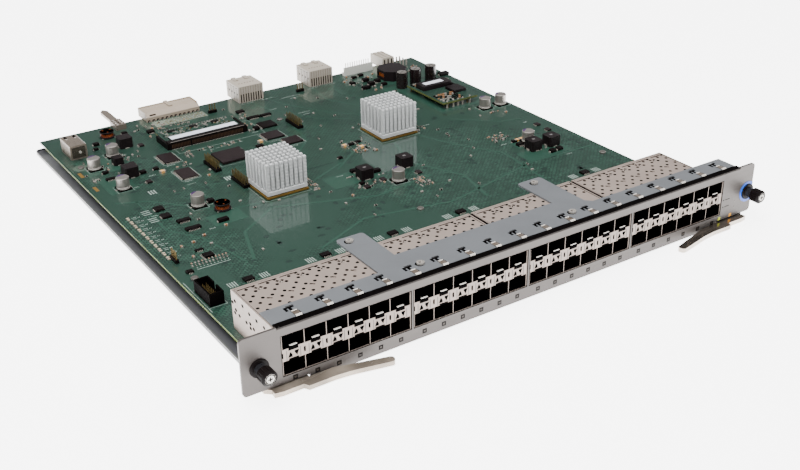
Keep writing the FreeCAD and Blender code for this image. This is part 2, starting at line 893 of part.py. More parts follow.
# ---------------------------------------------------------------- capacitors and coils
def make_surface_cans():
    """Aluminium can capacitors on their square black feet."""
    places = [
        on_board(18.2, 337.5), on_board(39.4, 354.5), on_board(23.5, 289.6), on_board(57.4, 229.3),
        on_board(201.6, 180.9), from_right(44.2, 183.3), from_right(26.2, 264.7), from_right(9.2, 264.2),
    ]
    cans = []
    for x, y in places:
        low = board_z + can_base_t
        top = can_h - can_base_t
        cans.append(turned([
            (0, 0), (can_r, 0), (can_r, 1.4), (can_r - 0.4, 1.8), (can_r, 2.3),
            (can_r, top - 0.5), (can_r - 0.5, top), (0, top),
        ], x, y, low))
    return cans, [centred(x, y, can_base_side, can_base_side, board_z, board_z + can_base_t) for x, y in places]


def make_tall_cans():
    places = (from_right(55.8, 352.0), from_right(40.2, 352.8), from_right(23.1, 352.7))
    return [disc(x, y, tall_can_r, board_z, board_z + tall_can_h) for x, y in places]


def make_block_coils():
    places = (
        on_board(55.2, 368.8), on_board(36.8, 309.7), on_board(183.8, 201.2), on_board(221.3, 202.4),
        from_right(50.1, 169.3), from_right(32.3, 168.3),
    )
    made = []
    for x, y in places:
        coil = centred(x, y, coil_side, coil_side, board_z, board_z + coil_h)
        made.append(coil.makeChamfer(0.9, upright_edges(coil, lambda ex, ey: True)))
    x, y = on_board(37.2, 337.5)
    small = centred(x, y, 8.0, 8.0, board_z, board_z + 6.0)
    made.append(small.makeChamfer(0.9, upright_edges(small, lambda ex, ey: True)))
    return made


def drum_places():
    return (on_board(50.5, 396.3), on_board(69.9, 214.4))


def make_drum_coils():
    """Ferrite bobbins: two flanges on a post."""
    made = []
    for x, y in drum_places():
        made.append(turned([
            (0, 0), (drum_r, 0), (drum_r, 1.2), (post_r, 1.2), (post_r, 4.2),
            (drum_r, 4.2), (drum_r, 5.6), (0, 5.6),
        ], x, y, board_z))
    return made


def make_windings():
    """Copper windings: a ring on each bobbin, and the bar that shows through the choke."""
    made = []
    for x, y in drum_places():
        ring = disc(x, y, winding_r, board_z + 1.2, board_z + 4.2)
        made.append(ring.cut(disc(x, y, post_r, board_z, board_z + 6)))
    x, y = choke_centre()
    bar = centred(x, y, choke_side - 3, 2 * choke_window, board_z + choke_wall, board_z + choke_h - choke_wall)
    made.append(bar)
    return made


def choke_centre():
    return from_right(47.4, 382.0)


def make_choke():
    x, y = choke_centre()
    core = centred(x, y, choke_side, choke_side, board_z, board_z + choke_h)
    core = core.makeChamfer(6.0, upright_edges(core, lambda ex, ey: True))
    return core.cut(centred(x, y, 2 * choke_side, 2 * choke_window, board_z + choke_wall, board_z + choke_h - choke_wall))


# ---------------------------------------------------------------- memory module and converter
def make_socket():
    x, y = on_board(116.8, 341.7)
    y0 = y - socket_d / 2
    y1 = y + socket_d / 2
    high = board_z + socket_h
    body = block(x - socket_w / 2, x + socket_w / 2, y0, y1, board_z, high)
    slot = block(x - module_w / 2, x + module_w / 2, y1 - 3.4, y1 + 1, board_z + module_rise, board_z + module_rise + module_t)
    arms = []
    for side in (-1, 1):
        arm_x = x + side * (socket_w / 2 + 0.2)
        arms.append(centred(arm_x, y + 9.0, 2.0, 24.0, board_z, board_z + module_rise + 1.6))
    return body.cut(slot).fuse(arms).removeSplitter()


def make_module():
    x, y = on_board(116.8, 341.7)
    y0 = y + socket_d / 2 - 3.4
    low = board_z + module_rise
    return block(x - module_w / 2 + 0.1, x + module_w / 2 - 0.1, y0, y0 + module_d, low, low + module_t)


def brick_centre():
    return from_right(39.7, 311.3)


def make_brick_board():
    x, y = brick_centre()
    return centred(x, y, brick_w, brick_d, board_z + brick_rise, board_z + brick_rise + brick_t)


def make_brick_core():
    x, y = brick_centre()
    high = board_z + brick_rise + brick_t
    cy = y + 12.7
    core = centred(x, cy, core_w, core_d, high, high + core_h)
    core = core.makeChamfer(0.6, upright_edges(core, lambda ex, ey: True))
    second = centred(x + 11.0, y - 6.5, 13.0, 14.0, high, high + 2.4)
    return [core, second]


def make_brick_pins():
    x, y = brick_centre()
    made = []
    for px in (-12.0, -6.0, -1.0, 4.0, 9.0):
        made.append(disc(x + px, y - 26.6, brick_pin_r, board_z, board_z + brick_rise))
    for px in (-15.2, 0.0, 15.2):
        made.append(disc(x + px, y + 26.6, brick_pin_r, board_z, board_z + brick_rise))
    return made


# ---------------------------------------------------------------- headers and rear connectors
def header_places():
    """The two-row pin headers, each as centre and number of pins along Y."""
    beside = on_board(*sink_1)[0] - bga_side / 2 - header_clear - pin_pitch
    return (on_board(95.1, 286.7), (beside, on_board(0, 246.2)[1]), on_board(192.4, 328.8))


def pin_field(x, y, columns, rows, z0, z1):
    """Square pins on the standard pitch, centred on a point."""
    pins = []
    for i in range(columns):
        for j in range(rows):
            px = x + (i - (columns - 1) / 2) * pin_pitch
            py = y + (j - (rows - 1) / 2) * pin_pitch
            pins.append(centred(px, py, pin_side, pin_side, z0, z1))
    return pins


def make_header_bases():
    """Pin headers, each moulded base in one piece with its two rows of pins."""
    made = []
    depth = header_pin_count * pin_pitch
    for x, y in header_places():
        base = centred(x, y, 2 * pin_pitch, depth, board_z, board_z + header_base_h)
        pins = pin_field(x, y, 2, header_pin_count, board_z + header_base_h, board_z + header_pin_h)
        made.append(base.fuse(pins))
    return made


def make_box_header():
    """Shrouded header, with its pins and the keying notch in its side."""
    x, y = on_board(7.9, 103.8)
    floor_z = board_z + 1.6
    high = board_z + box_header_h
    body = centred(x, y, box_header_w, box_header_d, board_z, high)
    body = body.cut(centred(x, y, box_header_w - 2.4, box_header_d - 2.4, floor_z, high + 1))
    body = body.cut(block(x + box_header_w / 2 - 2, x + box_header_w / 2 + 1, y - 2, y + 2, board_z + 4, high + 1))
    return body.fuse(pin_field(x, y, 2, 6, floor_z, high - 2.0))


def make_guide_box():
    """Folded metal housing that takes a guide pin of the chassis, with its round mouth."""
    x, y = on_board(15.6, 376.3)
    high = board_z + guide_h
    shell = centred(x, y, guide_w, guide_d, board_z, high)
    edges = [e for e in shell.Edges if abs(e.Vertexes[0].Point.z - high) < 1e-6 and abs(e.Vertexes[-1].Point.z - high) < 1e-6]
    sides = [e for e in edges if abs(e.Vertexes[0].Point.x - e.Vertexes[-1].Point.x) < 1e-6]
    shell = shell.makeFillet(1.2, sides)
    rear = y + guide_d / 2
    cuts = [rod_y(x, board_z + guide_h / 2, guide_bore_r, rear - guide_bore_d, rear + 1)]
    for side in (-1, 1):
        cuts.append(centred(x + side * 3.6, rear - 2.6, 1.6, 4.2, high - 0.8, high + 1))
    face = centred(x, y - guide_d / 2, guide_w - 2.4, 1.2, board_z + 1.2, high - 1.6)
    boss = Part.makeSphere(1.3, V(x + 1.0, y - guide_d / 2 + 0.6, board_z + guide_h / 2))
    return shell.cut(Part.makeCompound(cuts + [face])).fuse(boss)


def make_guide_pin():
    """The keying blade that runs ahead of the rear connectors into the backplane."""
    x, y = on_board(66.3, 412.0)
    high = board_z + 4.6
    foot = centred(x, y, 9.0, 15.0, board_z, high)
    grooves = [centred(x, y - 4.5 + 4.5 * i, 10.0, 1.4, board_z + 2.6, high + 1) for i in range(3)]
    foot = foot.cut(Part.makeCompound(grooves))
    base_y = y + 7.5
    tip_y = base_y + blade_reach
    blade = [
        (x - blade_w / 2, base_y - 1), (x + blade_w / 2, base_y - 1), (x + blade_w / 2, tip_y - 4),
        (x + 0.6, tip_y), (x - 0.6, tip_y), (x - blade_w / 2, tip_y - 4),
    ]
    return foot.fuse(slab(blade, board_z + 1.2, board_z + 1.2 + blade_t))


def make_tan_connector():
    x, y = on_board(115.3, 417.3)
    body = centred(x, y, tan_w, tan_d, board_z, board_z + tan_h)
    key = centred(x + 0.6, y + 3.0, 3.4, tan_d - 6, board_z + tan_h - 0.5, board_z + tan_h + 1.2)
    slot = centred(x, y + tan_d / 2, tan_w - 3, 9.0, board_z + 1.6, board_z + tan_h - 1.6)
    front = y - tan_d / 2
    slope = [(front - 1, board_z + 3.2), (front + 4.5, board_z + tan_h + 0.1), (front - 1, board_z + tan_h + 0.1)]
    cuts = [slot, profile_x(slope, x - tan_w / 2 - 1, x + tan_w / 2 + 1)]
    for i in range(tan_slot_count):
        sx = x - tan_w / 2 + (i + 0.5) * tan_w / tan_slot_count
        cuts.append(centred(sx, front, 2.4, 2.4, board_z, board_z + 1.6))
    return body.cut(Part.makeCompound(cuts)).fuse(key).removeSplitter()


def make_stack_connectors():
    """Tall backplane receptacles, slit behind their contact leads."""
    made = []
    for x, y in (on_board(188.9, 414.8), on_board(261.8, 414.8)):
        body = centred(x, y, stack_w, stack_d, board_z, board_z + stack_h)
        cuts = []
        pitch = stack_w / stack_fin_count
        for i in range(stack_fin_count - 1):
            sx = x - stack_w / 2 + (i + 1) * pitch
            cuts.append(centred(sx, y - stack_d / 2, 0.8, 3.0, board_z, board_z + 6.0))
        for row in range(3):
            low = board_z + 2.4 + row * 4.2
            cuts.append(block(x - stack_w / 2 + 1.6, x + stack_w / 2 - 1.6, y + stack_d / 2 - 3, y + stack_d / 2 + 1, low, low + 2.2))
        high = board_z + stack_h
        keys = [centred(x + dx, y + stack_d / 2 - 4.0, 4.0, 8.0, high - 0.5, high + 1.0) for dx in (-5.5, 5.5)]
        made.append(body.cut(Part.makeCompound(cuts)).fuse(keys).removeSplitter())
    return made


def make_pin_strip():
    """Friction-lock header: a low base, a tall back wall and pins that rise past it."""
    x, y = on_board(307.6, 411.8)
    back = y - pin_strip_d / 2
    body = centred(x, y, pin_strip_w, pin_strip_d, board_z, board_z + 3.0)
    wall = block(x - pin_strip_w / 2, x + pin_strip_w / 2, back, back + 1.4, board_z, board_z + pin_strip_h)
    pins = pin_field(x, y + 0.8, strip_pin_count, 1, board_z + 3.0, board_z + strip_pin_h)
    return body.fuse(wall).removeSplitter().fuse(pins)


def make_power_connector():
    x, y = on_board(340.0, 418.4)
    body = centred(x, y, power_w, power_d, board_z, board_z + power_h)
    cuts = []
    for i in range(3):
        sx = x - power_w / 2 + (i + 0.5) * power_w / 3
        cuts.append(block(sx - 1.1, sx + 1.1, y + power_d / 2 - 8, y + power_d / 2 + 1, board_z + 1.6, board_z + power_h - 1.6))
        cuts.append(centred(sx, y - power_d / 2, 1.2, 3.0, board_z, board_z + 6.4))
        cuts.append(centred(sx, y, 1.0, power_d + 2, board_z + power_h - 0.7, board_z + power_h + 1))
    return body.cut(Part.makeCompound(cuts))


# ---------------------------------------------------------------- export
os.makedirs("parts", exist_ok=True)

save("carrier_tray", make_tray())
save("standoffs", make_standoffs())
save("board_screws", make_board_screws())
save("main_board", make_board())
save("front_panel", make_panel())
save("status_lamps", make_lamps())
save("cage_tubs", [make_cage_tub(number) for number in range(cage_count)])
save("cage_covers", [make_cage_cover(number) for number in range(cage_count)])
save("port_channels", [make_channel(number) for number in range(cage_count)])
save("port_dividers", make_dividers())
save("port_connectors", make_connectors())
save("stiffener", make_stiffener())
save("spring_fingers", make_fingers())
save("stiffener_screws", make_stiffener_screws())
save("stiffener_posts", make_posts())
save("panel_gasket", make_gasket())
lever = make_lever()
save("lever_left", lever)
save("lever_right", mirrored(lever))
pin = make_lever_pin()
save("lever_pins", [pin, mirrored(pin)])
bracket = make_lever_bracket()
save("lever_brackets", [bracket, mirrored(bracket)])
for side, screw_x in screw_centres().items():
    save("captive_screw_" + side, make_screw(screw_x))
    save("captive_knob_" + side, make_knob(screw_x))
    save("retaining_ring_" + side, make_retaining_ring(screw_x))
save("screw_ferrules", [make_ferrule(x) for x in screw_centres().values()])
save("screw_bezels", [make_bezel(x) for x in screw_centres().values()])
save("marker_ring", make_marker_ring(screw_centres()["right"]))
save("chip_substrates", make_bga_substrates())
save("chip_lids", make_bga_lids())
save("heat_sinks", [make_heat_sink(sink_1), make_heat_sink(sink_2)])
save("bare_chip", make_bare_chip())
save("leaded_chips", make_leaded_chips())
save("small_chips", make_small_chips())
can_bodies, can_feet = make_surface_cans()
save("surface_cans", can_bodies)
save("can_feet", can_feet)
save("tall_cans", make_tall_cans())
save("block_coils", make_block_coils())
save("drum_coils", make_drum_coils())
save("choke_core", make_choke())
save("coil_windings", make_windings())
save("module_socket", make_socket())
save("memory_module", make_module())
save("converter_board", make_brick_board())
save("converter_core", make_brick_core())
save("converter_pins", make_brick_pins())
save("header_bases", make_header_bases())
save("box_header", make_box_header())
save("guide_box", make_guide_box())
save("guide_blade", make_guide_pin())
save("tan_connector", make_tan_connector())
save("stack_connectors", make_stack_connectors())
save("pin_strip", make_pin_strip())
save("power_connector", make_power_connector())
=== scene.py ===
import random
from math import cos, hypot, pi, radians, sin

import bmesh
import bpy
from mathutils import Matrix, Vector


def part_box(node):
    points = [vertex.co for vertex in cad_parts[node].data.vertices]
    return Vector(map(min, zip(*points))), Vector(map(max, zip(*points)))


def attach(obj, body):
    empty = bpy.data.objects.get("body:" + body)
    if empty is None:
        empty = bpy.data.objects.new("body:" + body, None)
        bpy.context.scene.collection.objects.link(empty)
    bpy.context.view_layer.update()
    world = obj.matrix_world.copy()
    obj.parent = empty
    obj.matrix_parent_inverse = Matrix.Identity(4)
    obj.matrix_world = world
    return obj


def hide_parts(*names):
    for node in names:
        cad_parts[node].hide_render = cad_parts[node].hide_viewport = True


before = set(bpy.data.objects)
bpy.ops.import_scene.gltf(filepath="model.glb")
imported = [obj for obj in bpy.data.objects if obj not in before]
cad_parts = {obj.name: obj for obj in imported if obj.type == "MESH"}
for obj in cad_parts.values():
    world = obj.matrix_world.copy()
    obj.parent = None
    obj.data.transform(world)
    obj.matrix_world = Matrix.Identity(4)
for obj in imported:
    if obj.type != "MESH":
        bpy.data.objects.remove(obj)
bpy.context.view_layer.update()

# Millimetres: places are from the panel's left end and front face, heights are the frame's own.
MM = 0.001
ORIGIN = (-208.92, -210.6)
BOARD = 8.7
CAGE_TOP = 35.2
CAGES, CAGE_PITCH = 4, 88.2
COLUMNS, PORT_PITCH = 6, 14.25
PORT_MID = BOARD + 9.3
PIN_PITCH = 2.54


def extent(name):
    """A node's box as x0, y0, z0, x1, y1, z1."""
    low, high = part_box(name)
    return [v / MM - start for v, start in zip((*low, *high), (*ORIGIN, 0) * 2)]


# ---- material helpers
def feed(node, sockets):
    """Gives each socket a value, or links it to the output that feeds it."""
    for key, value in sockets.items():
        if isinstance(value, bpy.types.NodeSocket):
            node.id_data.links.new(value, node.inputs[key])
        else:
            node.inputs[key].default_value = value


def add(tree, kind, sockets, **settings):
    node = tree.nodes.new("ShaderNode" + kind)
    for key, value in settings.items():
        setattr(node, key, value)
    feed(node, sockets)
    return node


def new_material(name):
    """A material with an empty tree, its output and its principled shader."""
    mat = bpy.data.materials.new(name)
    mat.use_nodes = True
    tree = mat.node_tree
    tree.nodes.clear()
    bsdf = add(tree, "BsdfPrincipled", {})
    add(tree, "OutputMaterial", {"Surface": bsdf.outputs["BSDF"]})
    return mat, tree, bsdf


def place(tree, scale=(1, 1, 1), turn=0):
    """Object coordinates, stretched and turned about the vertical."""
    coords = add(tree, "TexCoord", {}).outputs["Object"]
    sockets = {"Vector": coords, "Scale": scale, "Rotation": (0, 0, turn)}
    return add(tree, "Mapping", sockets).outputs["Vector"]


def noise(tree, vector, scale, detail=3):
    sockets = {"Vector": vector, "Scale": scale, "Detail": detail, "Roughness": 0.55}
    return add(tree, "TexNoise", sockets).outputs["Fac"]


def ramp(tree, value, low, high, stops=(0.35, 0.65)):
    """A colour ramp between two colours."""
    node = add(tree, "ValToRGB", {"Fac": value})
    for end, stop, colour in zip(node.color_ramp.elements, stops, (low, high)):
        end.position = stop
        end.color = (*colour, 1)
    return node.outputs["Color"]


def spread(tree, value, low, high):
    """The value's 0.3 to 0.7 range, stretched to lie between low and high."""
    sockets = {"Value": value, "From Min": 0.3, "From Max": 0.7, "To Min": low, "To Max": high}
    return add(tree, "MapRange", sockets).outputs["Result"]


def bump(tree, bsdf, height, depth, strength=0.5):
    node = add(tree, "Bump", {"Strength": strength, "Distance": depth, "Height": height})
    feed(bsdf, {"Normal": node.outputs["Normal"]})


def shade(name, colour, metal, rough, tint, grain=900, spec=0.5, stretch=(1, 1, 1), depth=0.00002, coat=0):
    """A general finish: mottled colour, varied roughness and a fine bump, brushed if stretched."""
    mat, tree, bsdf = new_material(name)
    fine = noise(tree, place(tree, stretch), grain)
    broad = noise(tree, place(tree), 45, 2)
    feed(bsdf, {
        "Base Color": ramp(tree, broad, [c * tint for c in colour], colour),
        "Metallic": metal,
        "Roughness": spread(tree, fine, *rough),
        "Specular IOR Level": spec,
    })
    if coat:
        feed(bsdf, {"Coat Weight": coat, "Coat Roughness": 0.12})
    bump(tree, bsdf, fine, depth)
    return mat


def split_height(name, below, above, height):
    """One colour below a height and another, partly metal, above it."""
    mat, tree, bsdf = new_material(name)
    vector = place(tree)
    z = add(tree, "SeparateXYZ", {"Vector": vector}).outputs["Z"]
    over = add(tree, "Math", {0: z, 1: height * MM}, operation="GREATER_THAN").outputs["Value"]
    fine = noise(tree, vector, 1200)
    low, high = (ramp(tree, fine, [c * 0.8 for c in tone], tone) for tone in (below, above))
    mix = add(tree, "Mix", {"Factor": over, "A": low, "B": high}, data_type="RGBA")
    feed(bsdf, {
        "Base Color": mix.outputs["Result"],
        "Metallic": add(tree, "Math", {0: over, 1: 0.7}, operation="MULTIPLY").outputs["Value"],
        "Roughness": spread(tree, fine, 0.3, 0.42),
    })
    bump(tree, bsdf, fine, 0.00002)
    return mat


# ---- materials
# Name, colour, metal, roughness, tint of the darker mottle, grain, specular, stretch, bump depth, coat.
FINISHES = (
    ("panel", (0.074, 0.065, 0.06), 0.45, (0.36, 0.48), 0.94, 420, 0.5, (0.05, 1, 6)),
    ("nickel", (0.27, 0.218, 0.188), 0.25, (0.36, 0.5), 0.93, 350, 0.5, (6, 1, 1)),
    # A brighter copy of the cage metal: a painted highlight on the fingers' humps and curls and on the ports'
    # lower lips.
    ("lip", (0.62, 0.58, 0.53), 0.2, (0.3, 0.4), 0.97, 350, 0.5, (6, 1, 1)),
    ("stiffener", (0.135, 0.142, 0.152), 0.3, (0.38, 0.5), 0.92, 350, 0.5, (1, 10, 1)),
    ("steel", (0.4, 0.38, 0.35), 0.8, (0.22, 0.34), 0.85),
    ("bright", (0.66, 0.6, 0.54), 0.6, (0.16, 0.26), 0.9),
    ("chrome", (0.4, 0.335, 0.27), 0.55, (0.2, 0.3), 0.5, 60, 0.5, (0.4, 1, 1), 0.000005),
    ("bronze", (0.085, 0.052, 0.028), 0.45, (0.26, 0.38), 0.8),
    ("foam", (0.0016, 0.001, 0.001), 0, (0.7, 0.9), 0.7, 2500, 0.03, (1, 1, 1), 0.0002),
    ("black", (0.0045, 0.003, 0.003), 0, (0.36, 0.52), 0.7, 2000, 0.08),
    ("package", (0.013, 0.0085, 0.009), 0, (0.38, 0.52), 0.8, 2200, 0.15),
    ("ferrite", (0.009, 0.0062, 0.0068), 0, (0.35, 0.55), 0.7, 1500, 0.15, (1, 1, 1), 0.00008),
    ("lamp", (0.065, 0.052, 0.043), 0, (0.15, 0.25), 0.7),
    ("blue", (0.012, 0.075, 0.42), 0, (0.3, 0.4), 0.9),
    ("gold_edge", (0.13, 0.075, 0.014), 0, (0.3, 0.45), 0.75),
    ("sink", (0.56, 0.57, 0.57), 0.2, (0.34, 0.5), 0.95, 1800),
    ("can", (0.33, 0.305, 0.28), 0.75, (0.3, 0.38), 0.96, 300, 0.5, (1, 1, 0.1)),
    ("sleeve", (0.009, 0.005, 0.0055), 0, (0.18, 0.3), 0.7, 900, 0.5, (1, 1, 1), 0.00002, 0.4),
    ("brass", (0.17, 0.12, 0.045), 0.5, (0.22, 0.35), 0.8),
    ("divider_edge", (0.055, 0.05, 0.045), 0.2, (0.4, 0.5), 0.9),
    # Painted shade over the front of the guide housing.
    ("guide_dark", (0.06, 0.052, 0.04), 0.5, (0.2, 0.3), 0.8),
    ("screw_land", (0.062, 0.088, 0.066), 0.1, (0.35, 0.5), 0.8, 600),
    ("header_brass", (0.135, 0.1, 0.035), 0.5, (0.3, 0.42), 0.7),
    ("copper", (0.5, 0.12, 0.025), 0.6, (0.22, 0.36), 0.75),
    ("guide", (0.24, 0.2, 0.165), 0.6, (0.26, 0.38), 0.85, 350, 0.5, (1, 9, 1)),
    ("tan", (0.3, 0.245, 0.19), 0, (0.4, 0.55), 0.92, 1500),
    ("beige", (0.34, 0.3, 0.25), 0, (0.4, 0.55), 0.93, 1500),
    ("pale", (0.42, 0.39, 0.32), 0, (0.35, 0.5), 0.9, 1500),
    ("dark_coat", (0.006, 0.005, 0.005), 0.1, (0.35, 0.5), 0.7, 900, 0.15),
    ("tin", (0.36, 0.33, 0.29), 0.4, (0.22, 0.36), 0.85, 1500),
    # Near black with almost no specular: painted shade in holes, slots and gaps, and inside the ports.
    ("hole", (0.0008, 0.0006, 0.0006), 0, (0.7, 0.9), 0.7, 900, 0.02),
    # Painted shade in the slits, slots and holes of the rear connectors.
    ("dark_slot", (0.02, 0.013, 0.01), 0, (0.6, 0.8), 0.7, 900, 0.08),
    ("window", (0.045, 0.025, 0.015), 0.1, (0.35, 0.5), 0.7, 2500, 0.15),
    ("smd_grey", (0.22, 0.2, 0.18), 0, (0.35, 0.5), 0.8, 2500),
    ("smd_black", (0.01, 0.0075, 0.0075), 0, (0.3, 0.45), 0.8, 2500, 0.15),
    ("smd_warm", (0.26, 0.12, 0.055), 0, (0.35, 0.5), 0.8, 2500),
    ("tantalum", (0.62, 0.34, 0.12), 0, (0.35, 0.5), 0.88, 1800),
    ("lamp_pale", (0.48, 0.4, 0.27), 0, (0.2, 0.3), 0.92, 1500),
    ("silk", (0.22, 0.27, 0.24), 0, (0.5, 0.6), 0.8, 3000),
    ("print_grey", (0.004, 0.003, 0.0025), 0, (0.5, 0.6), 0.8, 3000, 0.05),
    ("mark_grey", (0.22, 0.21, 0.21), 0, (0.5, 0.6), 0.9, 3000),
    ("label", (0.62, 0.64, 0.7), 0, (0.45, 0.55), 0.96),
    ("violet", (0.05, 0.012, 0.085), 0.1, (0.3, 0.42), 0.9),
    ("pad_white", (0.4, 0.38, 0.34), 0.1, (0.35, 0.5), 0.9),
    ("gold_pad", (0.25, 0.14, 0.035), 0.5, (0.3, 0.42), 0.85),
    ("mask_light", (0.0175, 0.052, 0.036), 0, (0.3, 0.36), 0.95, 500, 0.5, (1, 1, 1), 0.00001, 1),
    ("mask_dark", (0.0085, 0.021, 0.017), 0, (0.3, 0.36), 0.95, 500, 0.5, (1, 1, 1), 0.00001, 1),
    ("board_edge", (0.075, 0.085, 0.02), 0, (0.4, 0.5), 0.85, 1500),
    ("green_lamp", (0.42, 0.47, 0.03), 0, (0.2, 0.3), 0.9),
    ("amber_lamp", (0.62, 0.27, 0.02), 0, (0.2, 0.3), 0.9),
    ("neck", (0.03, 0.03, 0.034), 0.6, (0.25, 0.36), 0.8, 900, 0.3),
    ("lever_steel", (0.46, 0.4, 0.34), 0.95, (0.14, 0.22), 0.7, 60, 0.5, (0.4, 1, 1), 0.000005),
    ("copper_dark", (0.26, 0.055, 0.012), 0.5, (0.2, 0.32), 0.6, 600),
    ("residue", (0.135, 0.165, 0.125), 0, (0.4, 0.6), 0.5, 260),
    ("screw_silver", (0.5, 0.47, 0.43), 0.6, (0.2, 0.3), 0.85),
    ("board_screw", (0.17, 0.16, 0.145), 0.7, (0.25, 0.36), 0.85),
)
BOARD_GREEN = (0.003, 0.008, 0.0065)
BOARD_LIGHT = (0.035, 0.088, 0.062)
BOARD_EDGE = (0.11, 0.15, 0.035, 1)


def board_material():
    """Glossy solder mask over copper hatching, with the laminate's yellow-green on the cut edges."""
    mat, tree, bsdf = new_material("board")
    runs = add(tree, "TexBrick", {
        "Vector": place(tree, turn=0.02), "Scale": 135, "Mortar Size": 0.05, "Mortar Smooth": 0.3,
        "Color1": (1, 1, 1, 1), "Color2": (0.55, 0.55, 0.55, 1), "Mortar": (0, 0, 0, 1),
    })
    patches = ramp(tree, noise(tree, place(tree), 14, 2), (0, 0, 0), (1, 1, 1), (0.44, 0.56))
    mix = add(tree, "Mix", {"Factor": patches, "A": 0.5, "B": runs.outputs["Color"]}, data_type="FLOAT")
    hatch = mix.outputs["Result"]
    colour = ramp(tree, hatch, BOARD_GREEN, BOARD_LIGHT, (0.2, 1))
    normal = add(tree, "NewGeometry", {}).outputs["True Normal"]
    facing = add(tree, "SeparateXYZ", {"Vector": normal}).outputs["Z"]
    flat = add(tree, "Math", {0: facing}, operation="ABSOLUTE").outputs["Value"]
    edge = add(tree, "Mix", {"Factor": flat, "A": BOARD_EDGE, "B": colour}, data_type="RGBA")
    feed(bsdf, {
        "Base Color": edge.outputs["Result"], "Roughness": 0.3,
        "Coat Weight": 0.85, "Coat Roughness": 0.03, "Coat IOR": 1.6,
    })
    bump(tree, bsdf, hatch, 0.00003, 0.25)
    return mat


MATERIALS = {look[0]: shade(*look) for look in FINISHES}
# The tray is dark below 2.3 mm, partly its own grey and partly painted shade under the board. Above that it
# is lighter and partly metal, a painted highlight along the rim's top edge.
MATERIALS["tray"] = split_height("tray", (0.062, 0.062, 0.067), (0.2, 0.2, 0.198), 2.3)
MATERIALS["strip"] = split_height("strip", (0.62, 0.62, 0.57), (0.6, 0.57, 0.52), BOARD + 8.05)
MATERIALS["board"] = board_material()
NODE_MATERIALS = {
    "tray": "carrier_tray",
    "panel": "front_panel",
    "nickel": "cage_tubs cage_covers port_channels port_dividers",
    "stiffener": "stiffener",
    "steel": "standoffs stiffener_posts lever_pins captive_screw_left captive_screw_right",
    "screw_silver": "stiffener_screws",
    "board_screw": "board_screws",
    "neck": "retaining_ring_left retaining_ring_right screw_ferrules",
    "chrome": "lever_left",
    "lever_steel": "lever_right",
    "bronze": "spring_fingers",
    "foam": "panel_gasket box_header",
    "black": "port_connectors screw_bezels can_feet module_socket captive_knob_left captive_knob_right",
    "package": "chip_lids bare_chip leaded_chips small_chips",
    "header_brass": "header_bases",
    "copper": "coil_windings",
    "ferrite": "block_coils drum_coils choke_core converter_core",
    "lamp": "status_lamps",
    "blue": "marker_ring",
    "gold_edge": "chip_substrates",
    "sink": "heat_sinks",
    "can": "surface_cans",
    "sleeve": "tall_cans",
    "brass": "converter_pins",
    "guide": "guide_box guide_blade",
    "tan": "tan_connector",
    "beige": "stack_connectors power_connector",
    "strip": "pin_strip",
    "dark_coat": "lever_brackets",
    "board": "main_board memory_module converter_board",
}

for key, names in NODE_MATERIALS.items():
    for name in names.split():
        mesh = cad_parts[name].data
        mesh.materials.clear()
        mesh.materials.append(MATERIALS[key])


# ---- mesh helpers
def new_object(name, data):
    thing = bpy.data.objects.new(name, data)
    bpy.context.collection.objects.link(thing)
    return thing


def circle(x, y, rx, ry, sides):
    turns = [2 * pi * k / sides for k in range(sides)]
    return [(x + rx * cos(a), y + ry * sin(a)) for a in turns]


